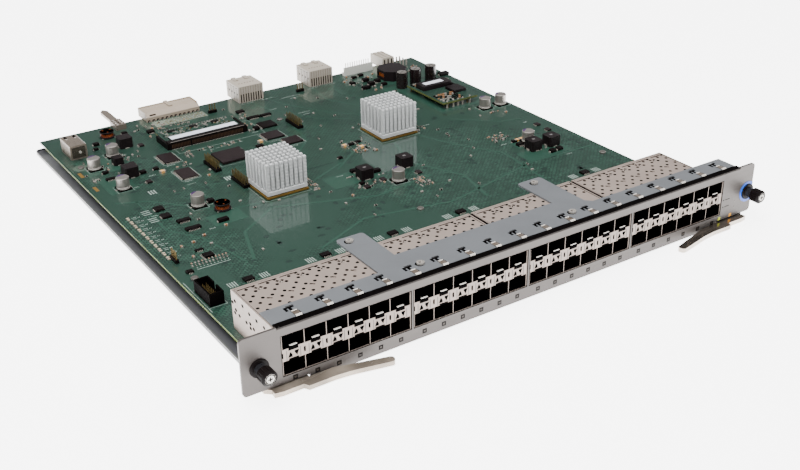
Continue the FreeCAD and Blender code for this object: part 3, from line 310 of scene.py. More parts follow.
class Maker:
    """Collects small solids into one mesh, with their heights counted from a level."""

    def __init__(self, name, *materials, level=BOARD):
        self.name, self.materials, self.level = name, materials, level
        self.points, self.faces, self.slots = [], [], []

    def hull(self, low, high, slot=0):
        """A solid between two rings that have as many points as each other."""
        n = len(low)
        base = len(self.points)
        self.points += list(low) + list(high)
        self.faces.append([base + i for i in reversed(range(n))])
        self.faces.append([base + n + i for i in range(n)])
        for i in range(n):
            j = (i + 1) % n
            self.faces.append([base + i, base + j, base + n + j, base + n + i])
        self.slots += [slot] * (n + 2)

    def box(self, x, y, w, d, z0, z1, slot=0, turn=0, inset=0):
        """A block centred on a point, drawn in at the top by inset."""
        c, s = cos(turn), sin(turn)

        def ring(hw, hd, z):
            corners = ((-hw, -hd), (hw, -hd), (hw, hd), (-hw, hd))
            return [(x + a * c - b * s, y + a * s + b * c, z) for a, b in corners]

        self.hull(ring(w / 2, d / 2, z0), ring(w / 2 - inset, d / 2 - inset, z1), slot)

    def plate(self, outline, z0, z1, slot=0):
        self.hull([(x, y, z0) for x, y in outline], [(x, y, z1) for x, y in outline], slot)

    def bar_x(self, profile, x0, x1, slot=0):
        """A bar along X from an outline given as (y, z)."""
        self.hull([(x1, y, z) for y, z in profile], [(x0, y, z) for y, z in profile], slot)

    def bar_y(self, profile, y0, y1, slot=0):
        """A bar along Y from an outline given as (x, z)."""
        self.hull([(x, y0, z) for x, z in profile], [(x, y1, z) for x, z in profile], slot)

    def turned(self, x, y, profile, slot, sides):
        """A round solid from (radius, height) pairs going up."""
        base = len(self.points)
        top = base + (len(profile) - 1) * sides
        for r, z in profile:
            self.points += [(px, py, z) for px, py in circle(x, y, r, r, sides)]
        self.faces.append([base + i for i in reversed(range(sides))])
        for a in range(base, top, sides):
            for i in range(sides):
                j = (i + 1) % sides
                self.faces.append([a + i, a + j, a + sides + j, a + sides + i])
        self.faces.append([top + i for i in range(sides)])
        self.slots += [slot] * (2 + top - base)

    def line(self, path, width, z0, z1, slot=0):
        """A flat run with mitred corners along a path."""
        left, right = [], []
        for (x, y), (ax, ay), (bx, by) in zip(path, [path[0], *path], [*path[1:], path[-1]]):
            half = width / 2 / hypot(bx - ax, by - ay)
            nx, ny = (ay - by) * half, (bx - ax) * half
            left.append((x + nx, y + ny))
            right.append((x - nx, y - ny))
        for i in range(len(path) - 1):
            self.plate([right[i], right[i + 1], left[i + 1], left[i]], z0, z1, slot)

    def done(self, body="chassis", bevel=0, replaces=None):
        """Makes the piece from its own materials, hangs it on a body and hides the node that it replaces."""
        mesh = bpy.data.meshes.new(self.name)
        start = (*ORIGIN, self.level)
        points = [[(v + shift) * MM for v, shift in zip(point, start)] for point in self.points]
        mesh.from_pydata(points, [], self.faces)
        for key in self.materials:
            mesh.materials.append(MATERIALS[key])
        mesh.polygons.foreach_set("material_index", self.slots)
        bm = bmesh.new()
        bm.from_mesh(mesh)
        bmesh.ops.recalc_face_normals(bm, faces=bm.faces)
        bm.to_mesh(mesh)
        bm.free()
        mesh.polygons.foreach_set("use_smooth", [True] * len(mesh.polygons))
        mesh.set_sharp_from_angle(angle=radians(35))
        piece = new_object(self.name, mesh)
        if bevel:
            mod = piece.modifiers.new("edges", "BEVEL")
            mod.width = bevel * MM
            mod.limit_method = "ANGLE"
            mod.angle_limit = radians(50)
        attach(piece, body)
        if replaces:
            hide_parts(replaces)


SINKS = ((142.02, 224.6), (271.52, 268.9))


def make_heat_sinks():
    """Fin sinks: plates with ribbed sides run along X and are cut across into pins."""
    low, high = extent("heat_sinks")[2::3]
    side, base = 33.6, 3.3
    pin_x, pin_y = 2.45, 2.5
    columns, rows, ribs = 9, 7, 8
    floor = low + base
    rib = (high - floor) / ribs
    wave = [(pin_y / 2 - 0.35, floor)]
    for k in range(ribs):
        for dy, dz in ((0.2, 0.1), (0, 0.3), (0, 0.8), (0.2, 0.98)):
            wave.append((pin_y / 2 - dy, floor + (k + dz) * rib))
    piece = Maker("heat_sink_pins", "sink", "hole", level=0)
    for x, y in SINKS:
        piece.box(x, y, side, side, low, floor - 0.5)
        piece.box(x, y, side, side, floor - 0.5, floor, inset=0.5)
        for i in range(columns):
            px = x - (side - pin_x) / 2 + i * (side - pin_x) / (columns - 1)
            for j in range(rows):
                py = y - (side - pin_y) / 2 + j * (side - pin_y) / (rows - 1)
                outline = [(py - w, z) for w, z in wave] + [(py + w, z) for w, z in reversed(wave)]
                piece.bar_x(outline, px - pin_x / 2, px + pin_x / 2)
                # A dark slab in each gap between four pins is painted shade.
                if i < columns - 1 and j < rows - 1:
                    gap_x = px + (side - pin_x) / (columns - 1) / 2
                    gap_y = py + (side - pin_y) / (rows - 1) / 2
                    piece.box(gap_x, gap_y, 0.7, 0.9, floor - 0.05, high - 3, 1)
    piece.done(replaces="heat_sinks")


FINGERS, FINGER_FIRST, FINGER_PITCH = 18, 44.42, 20.35
FINGER_SHEET = 0.22
# The runs of a finger: material, half its width, and its upper side as (y, z). The hump and the curl in front
# take the brighter metal as a painted highlight.
FINGER_RUNS = (
    (1, 1.7, ((18.9, -0.2), (18.7, 0.35), (18.45, 0.42), (18.2, 0.3), (18, 0.1))),
    (0, 2, ((17.7, 0.1), (17.3, 0.3), (13.9, 0.3), (13.6, 0.5))),
    (1, 2, ((13.6, 0.5), (13.1, 0.8), (12.5, 0.6), (11.7, -0.2), (11.5, -1.5))),
)
# Slots of painted shade round a finger: x from its middle, y, width, depth, top.
FINGER_SLOTS = (
    (-1.3, 22.9, 6.6, 1.5, 0.05), (-3.7, 21, 1.7, 3.4, 0.04), (-0.9, 20.9, 1.9, 3.4, 0.04),
    (0, 17.9, 4.6, 0.8, 0.06), (0.3, 12.4, 4.8, 1.3, 0.05), (2.4, 15.6, 0.5, 3.2, 0.03),
)


def make_spring_fingers():
    """Bronze fingers: each rises from its slot over a hump, lies flat and curls down in front; hump and curl
    are painted bright as a highlight, and the slots are painted shade.
    """
    piece = Maker("spring_finger_set", "bronze", "lip", "hole", level=CAGE_TOP + 1.2)
    for i in range(FINGERS):
        x = FINGER_FIRST + i * FINGER_PITCH
        for slot, half, run in FINGER_RUNS:
            under = [(y, z - FINGER_SHEET) for y, z in reversed(run)]
            piece.bar_x([*run, *under], x - half, x + half, slot)
        for dx, y, w, d, high in FINGER_SLOTS:
            piece.box(x + dx, y, w, d, -0.05, high, 2)
    piece.done(replaces="spring_fingers")


SIDE_HOLES = (
    (57.7, 29.6), (47.4, 31.2), (39, 29.9), (29.9, 30), (20.5, 30.2), (52.8, 21.9), (57.1, 23.8),
    (43.7, 21.9), (38.6, 23.6), (38.6, 20.6), (34.4, 22), (61, 27.4), (58.5, 21.2),
)
STIFFENER_SCREWS = ((133.4, 22.2), (255.4, 22.2), (113.1, 71.8), (264.2, 71.8))
VENT_FIRST, VENT_PITCH, VENT_ROWS = 29.4, 4.55, 7


def make_cage_details():
    """Folds and tabs of the cages, with painted shade in their vents, side holes, slots, creases and gaps and
    on a sheet under each cover, and crosses of painted shade on the stiffener's screws.
    """
    x0 = extent("cage_covers")[0]
    piece = Maker("cage_stampings", "nickel", "hole", "bright", level=CAGE_TOP)
    box = piece.box
    for cage in range(CAGES):
        a = x0 + cage * CAGE_PITCH
        b = a + 85.9
        # A dark sheet under each cover is painted shade, seen through its holes.
        box((a + b) / 2, 34, b - a - 1.2, 54, -0.9, -0.6, 1)
        box((a + b) / 2, 61.2, b - a, 0.9, 0, 0.22)
        # Between cages, a dark slab in the gap and a dark line over it are painted shade.
        if cage < CAGES - 1:
            box(b + 1.15, 34, 2.2, 54, -1.4, -0.3, 1)
            box(b + 0.05, 34, 0.5, 54, 0, 0.03, 1)
        # A raised strip near each side of the cover, and beside it a dark line of painted shade along the
        # crease.
        for inward, w, high, slot in ((0.45, 0.9, 0.2, 0), (1.1, 0.4, 0.03, 1)):
            for x in (a + inward, b - inward):
                box(x, 36, w, 50, 0, high, slot)
        bare_from = 28.4 if cage in (0, 3) else 41.8
        for column in range(COLUMNS):
            cx = a + 0.2 + (column + 0.5) * PORT_PITCH
            # Vents are dark discs laid on the cover, painted shade for the holes.
            for row in range(VENT_ROWS):
                y = VENT_FIRST + VENT_PITCH * row
                if y >= bare_from:
                    for dx in (-4, 4) if row % 2 else (0,):
                        piece.turned(cx + dx, y, [(1.16, -0.01), (1.16, 0.03)], 1, 12)
            # Dark strips and patches on the cover are painted shade in its slots and round its tabs.
            box(cx, 58.6, 10.5, 0.75, 0, 0.03, 1)
            box(cx + 5.4, 58, 2.6, 1.5, 0, 0.03, 1, 0.5)
            box(cx, 59.5, 8.4, 0.8, 0, 0.18)
        # Between ports, small tabs with dark patches of painted shade round them.
        for line in range(1, COLUMNS):
            lx = a + 0.2 + line * PORT_PITCH
            for dx, dy in ((-1.4, 1.5), (1.6, 0.8), (0, -0.9)):
                box(lx + dx, 54 + dy, 1.6, 1.9, 0, 0.03, 1, 0.5)
            box(lx + 0.1, 52.6, 1.1, 0.9, 0, 0.35, 2, 0.5)
            box(lx, 40.6, 3.4, 1.3, 0, 0.03, 1, -0.6)
            box(lx + 0.3, 39.4, 1.6, 0.7, 0, 0.25, 0, -0.6)
    head = extent("stiffener_screws")[5] - CAGE_TOP
    # Each screw gets a bright head with a cross of painted shade, and a dark disc of painted shade on the
    # stiffener under it.
    for x, y in STIFFENER_SCREWS:
        piece.turned(x, y, [(1.5, head - 0.01), (1.5, head + 0.03)], 2, 16)
        for turn in (0.5, 0.5 + pi / 2):
            box(x, y, 2, 0.5, head, head + 0.06, 1, turn)
        piece.turned(x, y, [(3, 1.19), (3, 1.23)], 1, 24)
    # Side holes are dark discs on the cage's side, painted shade.
    for y, z in SIDE_HOLES:
        piece.bar_x(circle(y, z - CAGE_TOP, 1.45, 1.15, 12), x0 - 0.03, x0 + 0.1, 1)
    piece.done()


# ---- packages and their leads
def lead_row(piece, x, y, count, pitch, out_x, out_y, reach):
    """Gull-wing leads along one side: a slanting leg and a flat foot each."""
    width = pitch * 0.45
    for i in range(count):
        step = (i - (count - 1) / 2) * pitch
        for near, far, low, high in ((0, reach * 0.45, 0.15, 0.75), (reach * 0.4, reach, 0.02, 0.18)):
            cx = x + abs(out_y) * step + out_x * (near + far) / 2
            cy = y + abs(out_x) * step + out_y * (near + far) / 2
            w, d = (width, far - near) if out_y else (far - near, width)
            piece.box(cx, cy, w, d, low, high, 1)


def lead_package(piece, x, y, w, d, leads_x, leads_y, pitch, reach):
    """Leads on the sides of a package: leads_x on the sides that face along X, leads_y on the others."""
    for side in (-1, 1):
        lead_row(piece, x + side * w / 2, y, leads_x, pitch, side, 0, reach)
        lead_row(piece, x, y + side * d / 2, leads_y, pitch, 0, side, reach)


# The CAD's leaded packages: x, y, width, depth, leads on each X side, leads on each Y side.
LEADED = (
    (95.22, 323, 12.5, 18.4, 26, 17), (94.82, 287, 12.5, 18.4, 26, 17), (186.62, 317.2, 16, 14, 20, 0),
    (195.12, 298.2, 14, 13, 18, 0),
)
# The middles of the CAD's small chips with leads.
SMALL_CHIPS = (
    (87.72, 361.4), (65.32, 289.4), (67.52, 329.5), (213.82, 188.5), (196.72, 184.3), (243.92, 184.2),
    (381.82, 207), (381.92, 193.1),
)
# Packages of the visual model alone: x, y, width, depth, height, then leads as above where they have any.
BLACK_PARTS = (
    (52.5, 240, 7, 7, 1.45), (52.1, 226.4, 7, 7, 1.45), (59.7, 212.2, 10, 4.2, 1.6, 0, 7),
    (60.3, 197.2, 11.5, 4.2, 1.6, 0, 8), (52, 154.4, 7.2, 6.2, 1.5, 7, 0), (194, 341.5, 14, 13, 1.3, 18, 0),
    (57.6, 384, 5, 4, 2), (54, 374.5, 4, 3, 1.6), (85.9, 393.8, 5, 3.5, 1.8), (67.9, 308.5, 5, 4, 2),
    (43.6, 324.6, 5, 3.5, 1.8), (43, 311, 8, 3.2, 1.5, 0, 6), (79, 309, 4.5, 3.4, 1.6),
    (105.5, 384, 6, 5, 2, 0, 4), (32.2, 140.3, 5, 3.5, 1.5, 0, 3), (50, 164.8, 6, 2.5, 1.2, 0, 4),
    (89.2, 230.3, 5, 4.5, 2.2), (83.1, 196.4, 8, 4, 2.2), (188.5, 381.8, 7, 5, 1.6, 0, 5),
    (191.7, 362.8, 12, 3.6, 1.6, 0, 8), (203.5, 362, 10, 3.6, 1.6, 0, 7), (167, 302.4, 6, 4, 1.6, 0, 4),
    (311.3, 368.2, 8, 4, 2.6), (307.1, 385.6, 5, 4, 2.2), (321.9, 386.4, 6, 4.5, 2.6),
    (320.8, 374.3, 6, 5, 3), (317.4, 399.6, 5, 3.4, 1.8), (325.9, 401.6, 5, 3.4, 1.8),
    (329.6, 377.7, 5.5, 4.5, 2.8), (330.6, 367.3, 5, 4, 2.2), (392, 358, 10, 6, 2.6),
    (342, 181, 6, 4, 2, 0, 4), (342.5, 189, 5, 3, 1.6), (355, 155.6, 5.2, 4.2, 2.2),
    (362.4, 156, 5.2, 4.2, 2.2), (230, 262, 5, 3, 1.4), (237.5, 263.5, 5, 3, 1.4), (208.4, 243.5, 4, 3, 1.4),
    (196.7, 191.4, 4.2, 3.2, 1.8), (205.2, 214.6, 9, 4, 2.2, 0, 6), (211.2, 209.8, 6, 4, 2.4),
    (218.2, 204.8, 6, 4, 2.4), (228, 188, 5, 4, 1.8), (182, 338, 4.8, 4.8, 2.6),
    (59.5, 109.6, 7, 5, 1.5, 0, 5), (116.9, 109.6, 7, 5, 1.5, 0, 5), (170.8, 109.6, 7, 5, 1.5, 0, 5),
    (229.1, 109.6, 7, 5, 1.5, 0, 5), (347.7, 109.6, 7, 5, 1.5, 0, 5), (150.2, 302.6, 4, 3, 1.4),
)


def make_packages():
    """Extra packages, and the tinned leads of every leaded package."""
    piece = Maker("surface_packages", "black", "tin")
    for x, y, w, d, h, *leads in BLACK_PARTS:
        piece.box(x, y, w, d, 0.25, 0.25 + h * 0.5)
        piece.box(x, y, w, d, 0.25 + h * 0.5, 0.25 + h, inset=0.25)
        piece.box(x, y, w - 0.8, d - 0.8, 0, 0.3)
        if leads:
            lead_package(piece, x, y, w, d, *leads, 0.65 if max(leads) > 10 else 1.1, 1)
        else:
            for side in (-1, 1):
                piece.box(x + side * (w / 2 + 0.25), y, 0.7, d * 0.55, 0, h * 0.45, 1, inset=0.08)
    for x, y, w, d, *leads in LEADED:
        lead_package(piece, x, y, w, d, *leads, 0.65, 1.4)
    for x, y in SMALL_CHIPS:
        lead_package(piece, x, y, 4, 5, 4, 0, 1.1, 0.9)
    piece.done(bevel=0.06)


# ---- chip resistors and capacitors
GREY_PARTS = (
    (101.2, 403.6), (106.9, 398), (113.2, 398.6), (120, 400.9), (98.8, 394.7), (95.2, 393.6), (69.5, 208),
    (68.5, 219.5), (61.3, 169.3), (86.3, 141), (107.6, 218.5), (111.3, 202.3), (120.5, 206.7), (131.9, 203),
    (170, 193), (169.3, 169.6), (185.4, 154.4), (176.5, 141.5), (226.1, 154), (240, 149), (179, 396.4),
    (112.4, 247.2), (306.6, 247), (307.7, 235.4), (306.5, 231.2), (314.9, 214.9), (307.8, 198.3),
    (296.1, 186.4), (254.6, 193.3), (254.6, 158), (270, 141.2), (231, 140.9), (322.7, 147.9), (319, 137.8),
    (357, 269.7), (355.3, 251.7), (35.6, 352), (29.4, 327.6), (47.4, 301.2), (52, 318), (57, 318.6),
    (60.8, 335.4), (74.6, 347), (77.6, 341.4), (81, 352), (105, 343.2), (74.2, 262), (82.2, 262.8),
    (100.2, 262.4), (113.4, 283.4), (113.6, 316), (127, 270.4), (152.2, 271.2), (160.6, 279.4), (166, 262.6),
    (172.2, 287.2), (176.6, 272), (205, 268.2), (214.6, 288.4), (250.4, 292.4), (258.6, 296), (286.6, 302.6),
    (300.4, 311.2), (301.6, 288), (320.4, 296.4), (322.6, 330.4), (330.2, 346.8), (301.4, 342.2),
    (283.6, 356.4), (262.2, 372.8), (244.6, 384.2), (228.2, 369.6), (217.6, 352.4), (240.2, 342),
    (252.4, 326.2), (230.6, 312.4), (222.4, 330.6),
)
WARM_PARTS = (
    (51.8, 177.8), (42.3, 176.2), (43, 158.3), (81.7, 188.8), (108.4, 274), (378.6, 245.4), (337.5, 398.9),
    (180.5, 178), (62.2, 183.1), (66.2, 318.4), (101.6, 374.6), (109.6, 391), (232.6, 244.8), (226.4, 249.2),
    (241, 240.4), (316.6, 359.8), (324, 361.6), (303.8, 395), (312.4, 405.6), (329, 393.4),
)
TANTALUM = ((81, 300.5), (171.8, 310.3), (223.5, 262), (234, 252), (345.6, 189.3), (350, 189.3))
# Loose groups: the middle's x and y, width, depth, how many.
CLUSTERS = (
    (236, 169, 13, 17, 34), (295.5, 258.5, 10, 8, 14), (337.5, 204, 15, 12, 26), (233.5, 257, 22, 34, 30),
    (33, 314.5, 6, 7, 7), (164, 207.5, 8, 10, 12), (371, 252, 7, 3, 6), (46, 334, 10, 14, 8),
    (64, 346, 14, 16, 12), (124, 391, 34, 12, 30), (318, 385, 28, 36, 34), (182, 372, 24, 12, 14),
    (205, 196, 30, 26, 22), (176, 346, 16, 20, 12), (164, 224, 9, 30, 22), (100, 305, 20, 7, 8),
    (112, 323, 8, 26, 12), (378, 392, 18, 12, 16), (140, 322, 40, 8, 16), (352, 174, 22, 24, 16),
)
LAMP_ROW = tuple((27.8 + 0.05 * i, 237 - 7.1 * i) for i in range(11))


def chip_part(piece, x, y, length, width, height, turn, body):
    """A two-terminal part: a body between two tinned ends."""
    c, s = cos(turn), sin(turn)
    piece.box(x, y, length * 0.64, width * 0.96, 0.03, height * 0.96, body, turn)
    for side in (-1, 1):
        out = side * length * 0.4
        piece.box(x + c * out, y + s * out, length * 0.22, width, 0, height, 1, turn)


def make_chip_parts():
    """Small two-terminal parts, scattered where the real ones stand."""
    rng = random.Random(7)
    piece = Maker("chip_components", "smd_grey", "tin", "smd_warm", "tantalum", "smd_black")
    for x, y in GREY_PARTS:
        turn = pi / 2 * rng.randint(0, 1)
        chip_part(piece, x, y, 2.1, 1.25, 0.9, turn, rng.choice((0, 4, 4)))
    for x, y in WARM_PARTS:
        chip_part(piece, x, y, 2.6, 1.5, 1.1, pi / 2 * rng.randint(0, 1), 2)
    for x, y in TANTALUM:
        chip_part(piece, x, y, 4.6, 3, 1.9, 0, 3)
    for cx, cy, w, d, count in CLUSTERS:
        for _ in range(count):
            x = cx + round(rng.uniform(-0.5, 0.5) * w / 1.9) * 1.9
            y = cy + round(rng.uniform(-0.5, 0.5) * d / 2.3) * 2.3
            size = rng.choice(((1.7, 0.9, 0.6), (1.7, 0.9, 0.6), (2.1, 1.3, 0.8)))
            turn = pi / 2 * rng.randint(0, 1)
            chip_part(piece, x, y, *size, turn, rng.choice((0, 2, 4, 4)))
    for i in range(11):
        chip_part(piece, 37 + 2.5 * i, 146.5, 1.6, 0.9, 0.6, pi / 2, rng.choice((0, 4)))
        chip_part(piece, 38 + 2.5 * i, 150.2, 1.6, 0.9, 0.6, pi / 2, rng.choice((0, 2)))
    piece.done()
    lamps = Maker("board_lamps", "lamp_pale", "tin")
    for x, y in LAMP_ROW:
        chip_part(lamps, x, y + 1.2, 2.2, 1.4, 0.9, 0, 0)
        chip_part(lamps, x, y - 1.2, 2, 1.2, 0.7, 0, 0)
    lamps.done()


# ---- printed marks, pads and copper
# Strokes that stand for legends: x, y, how many.
LEGENDS = (
    (236, 392, 16), (242, 387, 7), (213, 372, 6), (176, 333, 5), (70, 300, 5), (88, 268, 6), (140, 268, 5),
    (120, 372, 12), (150, 398, 9), (86, 244, 5), (303, 262, 5), (376, 218, 4), (361, 145, 5), (188, 214, 5),
    (70, 190, 4), (230, 350, 10), (232, 345, 6), (300, 330, 7), (330, 190, 5), (44, 232, 4),
)


def make_silk():
    """Printed marks on the board: outlines, dashes and strokes, with no letters."""
    rng = random.Random(11)
    piece = Maker("printed_marks", "silk")

    def stroke(x, y, w, d):
        piece.box(x, y, w, d, 0, 0.07)

    def outline(x, y, w, d):
        for side in (-1, 1):
            stroke(x + side * w / 2, y, 0.25, d)
            stroke(x, y + side * d / 2, w, 0.25)

    def words(x, y, count):
        """A row of short strokes as long as a legend."""
        for i in range(count):
            stroke(x + i * 1.2, y, rng.uniform(0.5, 1) * 0.6, 1.3)

    for x in (59.5, 116.9, 170.8, 229.1, 347.7):
        for side in (-1, 1):
            for k in range(4):
                stroke(x + side * (9 + 1.7 * k), 109.6, 0.8, 6.4)
    for x, y in LAMP_ROW:
        stroke(x + 4.6, y + 1.1, 3.6, 0.45)
        stroke(x + 4.4, y - 1.3, 2.8, 0.45)
        words(x + 7.4, y, 2)
    for y in (223, 226, 229, 237, 240, 243):
        stroke(42.6, y, 6.5, 0.8)
    for i in range(7):
        stroke(127 + 5.4 * i, 320 + rng.uniform(0, 4), 3.2, 0.4)
    for x, y, w, d, *_ in LEADED:
        outline(x, y, w + 3.6, d + 3.6)
        words(x - w / 2, y - d / 2 - 4, 6)
    for x, y in SINKS:
        outline(x, y, 38, 38)
    outline(146.4, 344.5, 78, 34)
    outline(138.5, 297, 29.5, 27.5)
    for x in (200, 205, 209, 220, 224, 228, 268, 272, 276, 287, 291, 295):
        stroke(x, 399, 2.8, 0.6)
    for legend in LEGENDS:
        words(*legend)
    stroke(50, 141, 24, 0.5)
    for i in range(10):
        stroke(39 + 2.5 * i, 143.4, 0.4, 1.6)
    for x, y in ((58, 270.7), (116.3, 260.8)):
        for k in range(3):
            stroke(x + 2.1 * k, y, 1.05, 7)
    outline(29.3, 103.8, 12.5, 26)
    stroke(22.9, 108, 0.4, 44)
    for x, y in CANS:
        outline(x, y, 12.6, 12.6)
        words(x + 7.6, y - 3, 3)
    piece.done()


# Broad copper runs under the mask: width, then the path.
RUNS = (
    (3.2, (30, 268), (52, 258), (90, 212), (140, 204), (205, 236)),
    (4, (75, 132), (88, 172), (122, 196), (196, 168), (250, 176)),
    (3, (122, 196), (150, 262)),
    (3.4, (120, 120), (168, 142), (236, 128), (330, 150), (388, 148)),
    (3, (160, 246), (205, 292), (218, 350)),
    (2.6, (196, 226), (240, 262)),
    (2.6, (206, 402), (214, 372), (238, 330), (262, 312)),
    (2.6, (224, 402), (230, 378), (254, 336), (282, 306)),
    (2.6, (272, 402), (268, 366), (286, 330), (296, 300)),
    (2.6, (292, 402), (286, 372), (300, 340)),
    (4.2, (262, 246), (250, 206), (270, 160), (262, 120)),
    (3.4, (288, 246), (300, 214), (322, 176), (316, 120)),
    (2.4, (330, 262), (362, 232), (384, 226)),
    (2.4, (44, 262), (44, 206), (60, 180), (70, 132)),
)
# Copper fields under the mask: x, y, width, depth.
FIELDS = (
    (88, 200, 26, 18), (196, 206, 40, 22), (350, 160, 44, 18), (352, 183, 30, 16), (378, 264, 34, 14),
    (45, 340, 30, 30), (44, 300, 22, 34), (356, 311, 46, 66), (352, 352, 60, 14), (349, 384, 36, 40),
)


def make_copper():
    """Copper under the mask that shows as lighter runs and fields, gold pads and the land of a screw."""
    piece = Maker("copper_under_mask", "mask_light", "mask_dark", "gold_pad", "screw_land")
    under = -0.02
    for width, *path in RUNS:
        piece.line(path, width * 0.62, under, 0.05)
    for field in FIELDS:
        piece.box(*field, under, 0.035)
    rng = random.Random(3)
    for _ in range(260):
        x, y = rng.uniform(30, 388), rng.uniform(74, 402)
        w, d = rng.choice(((3, 3), (5, 4), (7, 3), (4, 6)))
        blob = circle(0, 0, w / 2, d / 2, 10)
        outline = [(x + dx * rng.uniform(0.75, 1.1), y + dy * rng.uniform(0.75, 1.1)) for dx, dy in blob]
        piece.plate(outline, under, 0.02, 1)
    for i in range(7):
        bend = [(48 + 1.6 * i, 222 - 8 * i), (66 + 2 * i, 214 - 7 * i)]
        piece.line([(40 + i, 232 - 11 * i), *bend, (84, 214 - 6 * i)], 0.45, under, 0.045)
    for i in range(9):
        bend = [(236 + 4 * i, 376 - 4 * i), (224 + 6 * i, 344 - 3 * i)]
        piece.line([(232 + 4 * i, 398), *bend, (250 + 3 * i, 300)], 0.5, under, 0.04, 1)
    for path in (((60, 84), (392, 84)), ((60, 96), (392, 98)), ((150, 240), (200, 240))):
        piece.line(path, 1.4, under, 0.04, 1)
    piece.box(26.5, 332.2, 2.6, 10, 0, 0.07, 2)
    piece.box(27.2, 300.9, 2.6, 9, 0, 0.07, 2)
    piece.turned(31.42, 346, [(6.4, 0), (6.4, 0.05)], 3, 28)
    piece.done()


# ---- capacitors, coils and pins
CANS = (
    (39.62, 337.5), (60.82, 354.5), (44.92, 289.6), (78.82, 229.3), (223.02, 180.9), (352.22, 183.3),
    (370.22, 264.7), (387.22, 264.2),
)
TALL_CANS = ((340.62, 352), (356.22, 352.8), (373.32, 352.7))
# Moulded coils: x, y, side, height.
BLOCKS = (
    (76.62, 368.8, 11, 8.5), (58.22, 309.7, 11, 8.5), (205.22, 201.2, 11, 8.5), (242.72, 202.4, 11, 8.5),
    (346.32, 169.3, 11, 8.5), (364.12, 168.3, 11, 8.5), (58.62, 337.5, 8, 6),
)
DRUMS = ((71.92, 396.3), (91.32, 214.4))


def make_can_details():
    """Seat rings, terminals and the printed violet segment of the cans, and the lids of the tall ones."""
    piece = Maker("can_details", "pad_white", "violet", "tin", "can", "sleeve")
    for n, (x, y) in enumerate(CANS):
        piece.turned(x, y, [(4.6, 1.2), (5.12, 1.3), (5.12, 2.2), (4.9, 2.35)], 0, 36)
        face = 2.15 if n % 2 else 1.75
        chord = [face - 0.95 + 1.9 * k / 8 for k in range(9)]
        piece.plate([(x + 4.35 * cos(a), y + 4.35 * sin(a)) for a in chord], 9.98, 10.03, 1)
        for side in (-1, 1):
            piece.box(x + side * 5.6, y, 1.8, 1.5, 0, 0.3, 2)
    for x, y in TALL_CANS:
        piece.turned(x, y, [(4.5, 14.9), (4.5, 15.04), (4.2, 15.08)], 3, 36)
        for turn in (0.6, 0.6 + pi / 2):
            piece.box(x, y, 7.4, 0.35, 15.07, 15.11, 4, turn)
    piece.done()


def make_coil_details():
    """Terminals and moulded top marks of the coils, and the turns of wire on the bobbins."""
    piece = Maker("coil_details", "tin", "mark_grey", "copper_dark", "ferrite")
    for x, y, side, high in BLOCKS:
        for k in (-1, 1):
            piece.box(x + k * side * 0.5, y, 0.7, side * 0.34, 0, 1.3, inset=0.05)
            piece.box(x, y + k * side * 0.5, side * 0.3, 0.5, 0, 0.6)
        for k in (-1, 0, 1) if x > 100 else ():
            piece.box(x + 0.9 * k, y + 0.2, 0.45, 1.8, high - 0.01, high + 0.03, 1)
    for x, y in DRUMS:
        for k in range(6):
            wire = ((4.9, -0.22), (5.12, -0.12), (5.2, 0), (5.12, 0.12), (4.9, 0.22))
            piece.turned(x, y, [(r, 1.45 + 0.5 * k + z) for r, z in wire], 2, 30)
        piece.turned(x, y, [(5.9, 0.1), (6.3, 0.3), (6.3, 1.1), (5.6, 1.5)], 3, 36)
        piece.turned(x, y, [(5.4, 4.5), (6, 4.8), (6, 5.4), (5.7, 5.6)], 3, 36)
        for a in (0.4, 2.5, 4.6):
            piece.turned(x + 3.6 * cos(a), y + 3.6 * sin(a), [(0.7, 5.58), (0.6, 5.72)], 2, 10)
        for side in (-1, 1):
            piece.box(x + side * 4.4, y - 3, 2.4, 1.8, 0, 0.6)
    piece.done()


def pin_post(piece, x, y, z0, z1, side, slot):
    piece.box(x, y, side, side, z0, z1 - 0.4, slot)
    piece.box(x, y, side, side, z1 - 0.4, z1, slot, inset=side * 0.28)


HEADERS = ((117.6, 287.4), (122.2, 247.4), (213.82, 328.8))
HEADER_ROWS = 9


def make_headers():
    """Two-row pin headers: a moulded base notched between pins, and pins with bevelled tips."""
    piece = Maker("pin_headers", "black", "header_brass")
    for x, y in HEADERS:
        piece.box(x, y, 5, HEADER_ROWS * PIN_PITCH, 0, 2.4)
        for j in range(HEADER_ROWS):
            py = y + (j - (HEADER_ROWS - 1) / 2) * PIN_PITCH
            piece.box(x, py, 4.4, 1.7, 2.4, 2.55)
            for side in (-1, 1):
                pin_post(piece, x + side * PIN_PITCH / 2, py, 2.5, 8.5, 0.64, 1)
    piece.done(replaces="header_bases")


def make_pins():
    """Plated pins of the boxed header, the jumper headers and the power connector."""
    piece = Maker("plated_pins", "brass", "black", "tin")
    for i in range(2):
        for j in range(6):
            pin_post(piece, 29.32 + (i - 0.5) * PIN_PITCH, 103.8 + (j - 2.5) * PIN_PITCH, 1.62, 6.85, 0.7, 0)
    for x, y, nx, ny in ((168.7, 396.2, 3, 1), (258, 398, 3, 1), (30.5, 160.9, 1, 4)):
        piece.box(x, y, nx * PIN_PITCH, ny * PIN_PITCH, 0, 2.5, 1)
        for i in range(nx):
            for j in range(ny):
                px, py = x + (i - (nx - 1) / 2) * PIN_PITCH, y + (j - (ny - 1) / 2) * PIN_PITCH
                pin_post(piece, px, py, 2.4, 8.6, 0.68, 0)
    for i in range(3):
        for j in range(3):
            pin_post(piece, 372.5 + 3.6 * i, 403 + 6 * j, 0, 5.8, 1.1, 2)
    piece.done()


# ---- connectors at the rear edge
STACKS = (210.32, 283.22)
STACK_FRONT = 402.3
TAN_X, TAN_Y = 136.72, 417.3
TAN_FRONT = TAN_Y - 9.75


